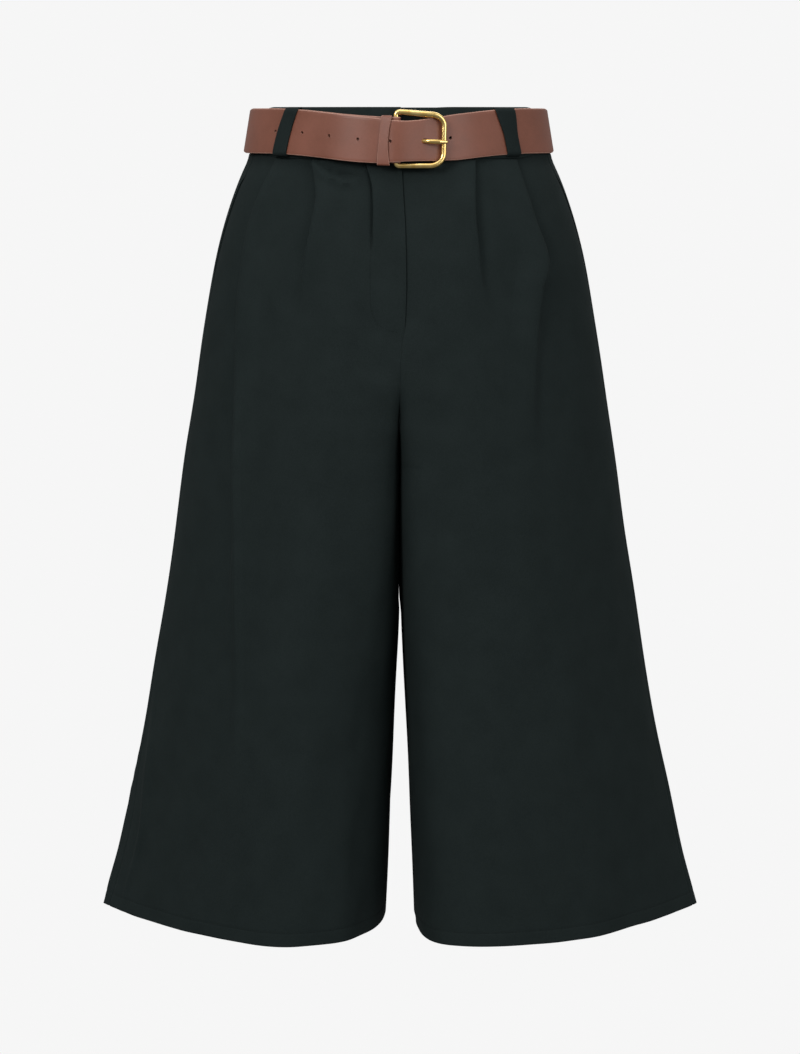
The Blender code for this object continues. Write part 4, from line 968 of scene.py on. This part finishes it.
def strap_line():
    """Stations (distance, lift, thickness, half width, part) along the strap's middle line.

    The part is a word, or a hole's distance in the patch of fine cells round it.
    """
    line = [(d, TAB_LIFT + LEATHER_SKIVED / 2.0, LEATHER_SKIVED, BELT_HALF, "tab")
            for d in np.arange(TAB_END, WRAP_SLOT, -STRAP_STEP)]
    for k in range(WRAP_STEPS + 1):
        angle = math.pi * k / WRAP_STEPS
        thickness = LEATHER_SKIVED + (LEATHER - LEATHER_SKIVED) * k / WRAP_STEPS
        radius = BAR_R + CLEAR + thickness / 2.0
        line.append((HEEL - radius * math.sin(angle), HEEL_LIFT - radius * math.cos(angle),
                     thickness, BELT_HALF, "wrap"))
    for d in np.arange(WRAP_SLOT, GIRTH + FREE_START - UNDER_SPARE, STRAP_STEP):
        line.append((d, under_lift(d) + LEATHER / 2.0, LEATHER, BELT_HALF, "under"))
    patches = sorted(HOLES + (PRONG_HOLE,))
    places, at = [], FREE_START
    for patch in patches + [TIP - TIP_LENGTH + PATCH]:
        reach = patch - PATCH - at
        count = max(1, round(reach / STRAP_STEP))
        places += [(at + reach * k / count, "free") for k in range(count)]
        if patch in patches:
            scale = patch_scale(patch)
            start = patch - PATCH * scale
            places = [p for p in places if p[0] < start - CELL]
            places += [(start + CELL * scale * k, patch) for k in range(CELLS + 1)]
            at = patch + PATCH * scale + STRAP_STEP / 2.0
    line += [(d, free_lift(d) + LEATHER / 2.0, LEATHER, BELT_HALF, part) for d, part in places]
    for along in np.sin(np.linspace(0.0, TIP_SWEEP, TIP_STEPS)):
        d = TIP - TIP_LENGTH + along * TIP_LENGTH
        half = BELT_HALF * max(math.sqrt(1.0 - along ** 2), TIP_BLUNT)
        line.append((d, free_lift(d) + LEATHER / 2.0, LEATHER, half, "tip"))
    return line


def strap_heights():
    """Heights across the strap's flat face: fine rows in the middle, for the holes."""
    fine = CELL * (np.arange(CELLS + 1) - CELLS / 2.0)
    coarse = np.linspace(fine[-1], BELT_HALF - EDGE_CORNER, STRAP_ROWS)[1:]
    return np.concatenate([-coarse[::-1], fine, coarse])


def belt_strap():
    """The strap: turned round the heel bar, once round the waist, through the buckle to its tip."""
    line = strap_line()
    heights = strap_heights()
    rows = len(heights)
    first = rows // 2 - CELLS // 2          # the first fine row
    cuts = [station[-1] for station in line]
    points, index = [], []
    for k, (distance, lift, thickness, half, part) in enumerate(line):
        before, after = line[max(k - 1, 0)], line[min(k + 1, len(line) - 1)]
        ahead = np.array([after[0] - before[0], after[1] - before[1]])
        if abs(ahead[0]) > GIRTH / 2.0:     # the middle line starts its second round
            ahead[0] += GIRTH
        out = np.array([-ahead[1], ahead[0]]) / np.hypot(*ahead)
        corner = min(EDGE_CORNER, 0.45 * thickness)
        flat, edge = thickness / 2.0, half - corner
        angles = np.radians(np.linspace(0.0, 90.0, EDGE_STEPS + 1))
        arc_up = [(flat - corner + corner * math.cos(a), edge + corner * math.sin(a)) for a in angles[1:]]
        arc_up += [(corner - flat - corner * math.sin(a), edge + corner * math.cos(a)) for a in angles[:-1]]
        face = heights / heights[-1] * edge if part == "tip" else heights
        along = np.zeros(rows)
        if isinstance(part, float):         # a hole's patch: its inner ring of points is made round
            radius = PRONG_HOLE_R if part == PRONG_HOLE else (HOLE_R, HOLE_R)
            a, b = (distance - part) / (PATCH * patch_scale(part)), heights / PATCH
            square = np.maximum(abs(a), np.abs(b))
            ring = np.isclose(square, 1.0 - 2.0 / CELLS) & (np.abs(b) < 0.99)
            length = np.maximum(np.hypot(a, b), 1e-9)
            face = np.where(ring, radius[1] * b / length, face)
            along = np.where(ring, radius[0] * a / length - (distance - part), 0.0)
        profile = [(flat, h, s) for h, s in zip(face, along)] + [(t, h, 0.0) for t, h in arc_up]
        profile += [(-flat, h, s) for h, s in zip(face[::-1], along[::-1])]
        profile += [(-t, -h, 0.0) for t, h in arc_up]
        profile = np.array(profile)
        at = distance + profile[:, 2] + out[0] * profile[:, 0]
        middle = float(belt_middle(distance))
        if part not in ("tab", "wrap", "under"):
            middle -= float(curve(FREE_HANG, "drop", distance))
            profile[:, 1] *= 1.0 - float(curve(FREE_HANG, "narrow", distance)) / BELT_HALF
        around = abs(distance - GIRTH * round(distance / GIRTH))
        profile[:, 1] *= 1.0 - float(bell(around - BELT_SIDE, BELT_SIDE_RUN)) * BELT_SIDE_NARROW / BELT_HALF
        index.append(np.arange(len(profile)) + len(points))
        points += waist_place(at, lift + out[1] * profile[:, 0], middle + profile[:, 1]).tolist()
    faces, edges = [], []
    around, arc = len(index[0]), len(arc_up)
    for k in range(len(line) - 1):
        start, end = cuts.index(cuts[k]), len(cuts) - 1 - cuts[::-1].index(cuts[k])
        punched = isinstance(cuts[k], float) and start < k < end - 1
        slot = cuts[k] == "wrap" and k < end    # for the prong
        hole = range(first + 1, first + CELLS - 1) if punched or slot else ()
        for j in range(around):
            mirror = rows + arc + rows - 2 - j  # the inner face's cell behind an outer one
            if j in hole or mirror in hole:
                continue
            n = (j + 1) % around
            faces.append((index[k][j], index[k][n], index[k + 1][n], index[k + 1][j]))
            edges.append(rows - 1 <= j < rows + arc or j >= 2 * rows + arc - 1)
    close_holes(faces, edges, index, rows, arc)
    for ring, step in ((index[0], -1), (index[-1], 1)):
        faces.append(tuple(ring[::step]))
        edges.append(True)
    used = sorted({i for face in faces for i in face})
    new = {old: n for n, old in enumerate(used)}
    made = mesh_object("leather_strap", [points[i] for i in used],
                       [[new[i] for i in face] for face in faces], None, LEATHER_SKIN)
    # the strap's edge faces take the pale edge colour with its painted highlight
    made.data.materials.append(LEATHER_EDGE_HIGHLIGHT)
    made.data.polygons.foreach_set("material_index", np.array(edges, dtype=np.int32))
    return made


def close_holes(faces, edges, index, rows, arc):
    """Add the walls between the strap's two faces wherever an open border runs."""
    opposite = {}                       # for each point of the outer face, the inner one behind it
    for ring in index:
        opposite.update(zip(ring[:rows].tolist(), ring[2 * rows + arc - 1:rows + arc - 1:-1].tolist()))
    sides = dict.fromkeys((int(a), int(b)) for face in faces for a, b in zip(face, face[1:] + face[:1]))
    ends = set(index[0].tolist()) | set(index[-1].tolist())
    for a, b in sides:
        if (b, a) not in sides and a in opposite and b in opposite and not (a in ends and b in ends):
            faces.append((b, a, opposite[a], opposite[b]))
            edges.append(True)


attach(belt_strap(), "leather", "belt_strap")


def keeper():
    """A narrow leather ring round the strap and its free end; its front bows a little."""
    outer, inner = [], []
    for d in KEEPER_RINGS:
        low, high = under_lift(d) - CLEAR, free_lift(d) + LEATHER + CLEAR
        half = np.array((0.5 * (high - low), BELT_HALF + CLEAR))
        profile = rounded_profile(*(half + KEEPER_WALL), KEEPER_CORNER, 5, 10)
        if d in KEEPER:
            profile *= (half + KEEPER_WALL - KEEPER_EDGE) / (half + KEEPER_WALL)
        outer.append((d, 0.5 * (high + low), profile))
        inner.append((d, 0.5 * (high + low), rounded_profile(*half, KEEPER_EDGE, 5, 10)))
    stations = outer + inner[::-(len(inner) // 2)]
    made = []
    for d, centre, profile in stations:
        share, up = (d - KEEPER[0]) / (KEEPER[1] - KEEPER[0]), profile[:, 1] / BELT_HALF
        bow, lean = (a + (b - a) * share for a, b in (KEEPER_BOW, KEEPER_LEAN))
        made.append(waist_place(d + bow * (1.0 - up ** 2) + lean * up, centre + profile[:, 0],
                                float(belt_middle(d)) - KEEPER_DROP + profile[:, 1]))
    made = closed_tube("leather_keeper", made, LEATHER_SKIN, loop=True)
    made.data.materials.append(LEATHER_EDGE_HIGHLIGHT)
    around = len(made.data.polygons) // len(stations)
    # the keeper's cut edges take the pale edge colour with its painted highlight
    for row in (0, len(outer) - 2, len(outer) - 1, len(stations) - 1):      # its cut edges
        for polygon in made.data.polygons[row * around:(row + 1) * around]:
            polygon.material_index = 1
    return made


attach(keeper(), "leather", "belt_keeper")


# ------------------------------------------------------------------ brass
BAR_AROUND, BAR_SQUARE = 28, 2.6        # a bar's section is a circle a little squared
CORNER_HANDLE, CORNER_POINTS = 0.55, 13
BUCKLE_STEP, PRONG_STEP = 0.0008, 0.0009


def bar(name, centres, sizes, material, closed, flatness=1.0):
    """A round or flattened bar along points in space; sizes are its half widths."""
    centres = np.asarray(centres, float)
    angles = np.linspace(0.0, math.tau, BAR_AROUND, endpoint=False)
    across, deep = np.cos(angles), np.sin(angles)
    swell = (np.abs(across) ** BAR_SQUARE + np.abs(deep) ** BAR_SQUARE) ** (-1.0 / BAR_SQUARE)
    rings, count, out = [], len(centres), np.array((0.0, -1.0, 0.0))
    for k in range(count):
        before = centres[k - 1] if closed or k else centres[k]
        after = centres[(k + 1) % count] if closed or k < count - 1 else centres[k]
        ahead = (after - before) / np.linalg.norm(after - before)
        up = np.cross(ahead, out)
        if np.linalg.norm(up) < 0.3:
            up = np.array((0.0, 0.0, 1.0)) * (1.0 if ahead[0] > 0.0 else -1.0)
        up -= ahead * up.dot(ahead)
        up /= np.linalg.norm(up)
        front = np.cross(up, ahead)
        rings.append([centres[k] + sizes[k] * w * (c * up + flatness * d * front)
                      for c, d, w in zip(across, deep, swell)])
    return closed_tube(name, rings, material, loop=closed)


def buckle_path():
    path = []
    for k, corner in enumerate(BUCKLE):
        at = np.array(corner[:2])
        before, after = (np.array(BUCKLE[n][:2]) - at for n in (k - 1, (k + 1) % len(BUCKLE)))
        start, end = (at + corner.rounding * way / np.hypot(*way) for way in (before, after))
        handles = (start + CORNER_HANDLE * (at - start), end + CORNER_HANDLE * (at - end))
        path += bezier((start, *handles, end), CORNER_POINTS).tolist()
    return np.array(path)


def buckle():
    path = resample(buckle_path(), BUCKLE_STEP, True)
    share = (path[:, 0] - HEEL) / (END - HEEL)
    centres = waist_place(path[:, 0], HEEL_LIFT + (END_LIFT - HEEL_LIFT) * share, path[:, 1])
    thick = BAR_R * (1.0 + BAR_SWELL * np.sin(math.pi * np.clip(share, 0.0, 1.0)) * (path[:, 1] > 0.0))
    return bar("brass_buckle", centres, thick, BRASS, True)


# The prong as (distance, lift): round the heel bar at these angles, then through its hole to the end.
PRONG_HOOK = (50, 60, 70, 80, 90)
PRONG_PATH = ((-0.0010, 0.0101), (-0.0060, 0.0085), (-0.0110, 0.0072), (-0.0155, 0.0068),
              (-0.0180, 0.0080), (-0.0202, 0.0105), (-0.0228, 0.0122), (-0.0280, 0.0129),
              (-0.0350, 0.0131), (-0.0366, 0.0129))
PRONG_TILT = 0.045                      # it falls this much towards its tip
PRONG_GROW, PRONG_THIN, PRONG_TIP = 0.12, 0.30, 0.75    # thicker in front, thinned on the bar, at the tip


def prong():
    radius = BAR_R + CLEAR + PRONG_R
    path = [(HEEL + radius * math.cos(math.radians(a)), HEEL_LIFT + radius * math.sin(math.radians(a)))
            for a in PRONG_HOOK] + list(PRONG_PATH)
    path = resample(path, PRONG_STEP, False)
    path = np.stack([np.convolve(np.pad(path[:, k], 2, mode="edge"), np.ones(5) / 5.0, "valid")
                     for k in range(2)], axis=-1)
    heights = float(belt_middle(END / 2.0)) - PRONG_DROP + PRONG_TILT * (path[:, 0] - PRONG_HOLE)
    seat = ease((END + 0.0040 - path[:, 0]) / 0.0008)
    grown = ease((PRONG_HOLE - path[:, 0]) / 0.0100)
    sizes = PRONG_R * (1.0 + PRONG_GROW * grown) * (1.0 - PRONG_THIN * seat)
    sizes[-1] *= PRONG_TIP
    return bar("brass_prong", waist_place(path[:, 0], path[:, 1], heights), sizes, BRASS, False, 0.9)


attach(buckle(), "brass", "buckle_frame")
attach(prong(), "brass", "buckle_prong")

# ------------------------------------------------------------------ belt loops
LOOP_HALF, LOOP_WALL, LOOP_CLEAR, LOOP_ROUND = 0.0073, 0.0013, 0.0005, 0.0022
LOOP_STEP, LOOP_FLARE_FROM = 0.0012, 0.35
# Each loop's distance at its middle, how far its top and its foot lean from it, and the share by
# which it is wider at its top.
Loop = namedtuple("Loop", "name distance top foot flare")
LOOPS = (Loop("loop_right_front", 0.1018, -0.0058, 0.0028, -0.04),
         Loop("loop_left_front", -0.0980, 0.0030, -0.0022, 0.45),
         Loop("loop_right_back", 0.2350, -0.0010, 0.0008, -0.03),
         Loop("loop_left_back", -0.2350, 0.0012, -0.0006, 0.0),
         Loop("loop_centre_back", 0.3400, 0.0008, -0.0008, 0.0))


def belt_loop(name, distance, top, foot, flare):
    """A folded strip of cloth held at the band's two edges and standing over the belt."""
    layers = free_lift(distance) if 0.0 < distance < TIP else UNDER_STRAP[-1].lift
    stand = layers + LEATHER + LOOP_CLEAR
    low = BAND_OUTER + CLEAR + (float(band_over(distance)) if distance > 0.0 else 0.0)
    middle = float(belt_middle(distance))
    high, deep = middle + BELT_HALF + CLEAR * 0.5, middle - BELT_HALF - LOOP_CLEAR
    bend = LOOP_ROUND * np.array([(math.cos(a), math.sin(a)) for a in np.radians((90, 60, 30, 0))])
    inside = stand - LOOP_ROUND
    route = [(low, high)] + [(inside + a, high - LOOP_ROUND + b) for a, b in bend]
    route += [(stand, high + (deep - high) * k / 14) for k in range(2, 13)]
    route += [(inside + a, deep + LOOP_ROUND - b) for a, b in bend[::-1]] + [(low, deep)]
    route = resample(route, LOOP_STEP, False)
    rings, uv = [], []
    profile = rounded_profile(LOOP_WALL / 2.0, LOOP_HALF, LOOP_WALL * 0.49, 3, 4)
    for k, (lift, z) in enumerate(route):
        ahead = route[min(k + 1, len(route) - 1)] - route[max(k - 1, 0)]
        ahead /= np.linalg.norm(ahead)
        out = np.array((-ahead[1], ahead[0]))
        share = (z - deep) / (high - deep)
        lean = foot * (1.0 - share) * (1.0 - 2.0 * share) + top * share * (2.0 * share - 1.0)
        wider = 1.0 + flare * float(ease((share - LOOP_FLARE_FROM) / (1.0 - LOOP_FLARE_FROM)))
        at = distance + lean + profile[:, 1] * wider
        rings.append(waist_place(at, lift + (profile[:, 0] + LOOP_WALL / 2.0) * out[0],
                                 z + (profile[:, 0] + LOOP_WALL / 2.0) * out[1]))
        uv.append(np.stack([profile[:, 1], np.full(len(profile), LOOP_STEP * k)], axis=-1))
    return closed_tube("cloth_" + name, rings, CLOTH, np.array(uv).reshape(-1, 2)), len(route) * LOOP_STEP


for loop in LOOPS:
    piece, run = belt_loop(*loop)
    attach(piece, "cloth", loop.name)


# ------------------------------------------------------------------ camera, light and stage
IMAGE_HEIGHT = 1054
FOCAL_MM, SENSOR_MM = 100.0, 36.0
CAMERA_Y, CAMERA_Z = -2.481, 0.0145
HORIZON_RISE = 412.0                    # the horizon lies this many pixels above the picture's middle
PITCH_DOWN = math.atan(HORIZON_RISE / (FOCAL_MM / SENSOR_MM * IMAGE_HEIGHT))

camera_data = bpy.data.cameras.new("camera")
camera_data.lens, camera_data.sensor_width, camera_data.sensor_fit = FOCAL_MM, SENSOR_MM, "AUTO"
camera_data.clip_start, camera_data.clip_end = 0.05, 50.0
camera = bpy.data.objects.new("camera", camera_data)
camera.location = (0.0, CAMERA_Y, CAMERA_Z)
camera.rotation_euler = (math.radians(90.0) - PITCH_DOWN, 0.0, 0.0)
bpy.context.scene.collection.objects.link(camera)
bpy.context.scene.camera = camera

PALE = 0.922                            # the studio as the camera sees it
SKY_LOW, SKY_HIGH = 0.16, 0.62          # the soft light that comes from it all round, below and above
world = bpy.data.worlds.new("studio")
bpy.context.scene.world = world
world.use_nodes = True
add = node_maker(world)
seen = add("ShaderNodeLightPath").outputs["Is Camera Ray"]
up = add("ShaderNodeSeparateXYZ", {"Vector": add("ShaderNodeTexCoord").outputs["Generated"]}).outputs["Z"]
sky = add("ShaderNodeMapRange", {"Value": up, "From Min": -0.35, "From Max": 0.75, "To Min": SKY_LOW,
                                 "To Max": SKY_HIGH}, interpolation_type="SMOOTHSTEP")
strength = blend(add, seen, sky.outputs["Result"], PALE)
background = world.node_tree.nodes["Background"]
background.inputs["Color"].default_value = (1.0, 1.0, 1.0, 1.0)
world.node_tree.links.new(strength, background.inputs["Strength"])

Lamp = namedtuple("Lamp", "name place size power")
LAMPS = (Lamp("key", (-1.8, -2.6, 1.4), 1.2, 50.0), Lamp("fill", (2.0, -2.4, 0.6), 1.8, 27.0),
         Lamp("top", (-0.3, -0.9, 2.4), 1.6, 16.0), Lamp("rear", (0.6, 2.4, 1.6), 1.6, 22.0))
AIM = Vector((0.0, 0.0, -0.30))
for lamp in LAMPS:
    data = bpy.data.lights.new(lamp.name, "AREA")
    data.shape, data.size, data.energy = "SQUARE", lamp.size, lamp.power
    lamp_object = bpy.data.objects.new(lamp.name, data)
    lamp_object.location = lamp.place
    lamp_object.rotation_euler = (AIM - Vector(lamp.place)).to_track_quat("-Z", "Y").to_euler()
    bpy.context.scene.collection.objects.link(lamp_object)

FLOOR_Z, FLOOR_HALF = -1.05, 14.0
floor_material, floor_shader, _, _ = new_material("floor")
floor_shader.inputs["Base Color"].default_value = (0.0, 0.0, 0.0, 1.0)
floor_shader.inputs["Emission Color"].default_value = (1.0, 1.0, 1.0, 1.0)
floor_shader.inputs["Emission Strength"].default_value = PALE
floor_shader.inputs["Roughness"].default_value = 1.0
floor_shader.inputs["Specular IOR Level"].default_value = 0.0
floor = mesh_object("floor", [(-FLOOR_HALF, -FLOOR_HALF, FLOOR_Z), (FLOOR_HALF, -FLOOR_HALF, FLOOR_Z),
                              (FLOOR_HALF, FLOOR_HALF, FLOOR_Z), (-FLOOR_HALF, FLOOR_HALF, FLOOR_Z)],
                    [(0, 1, 2, 3)], None, floor_material)
floor.visible_diffuse = floor.visible_glossy = False

bpy.context.scene.view_settings.view_transform = "Standard"
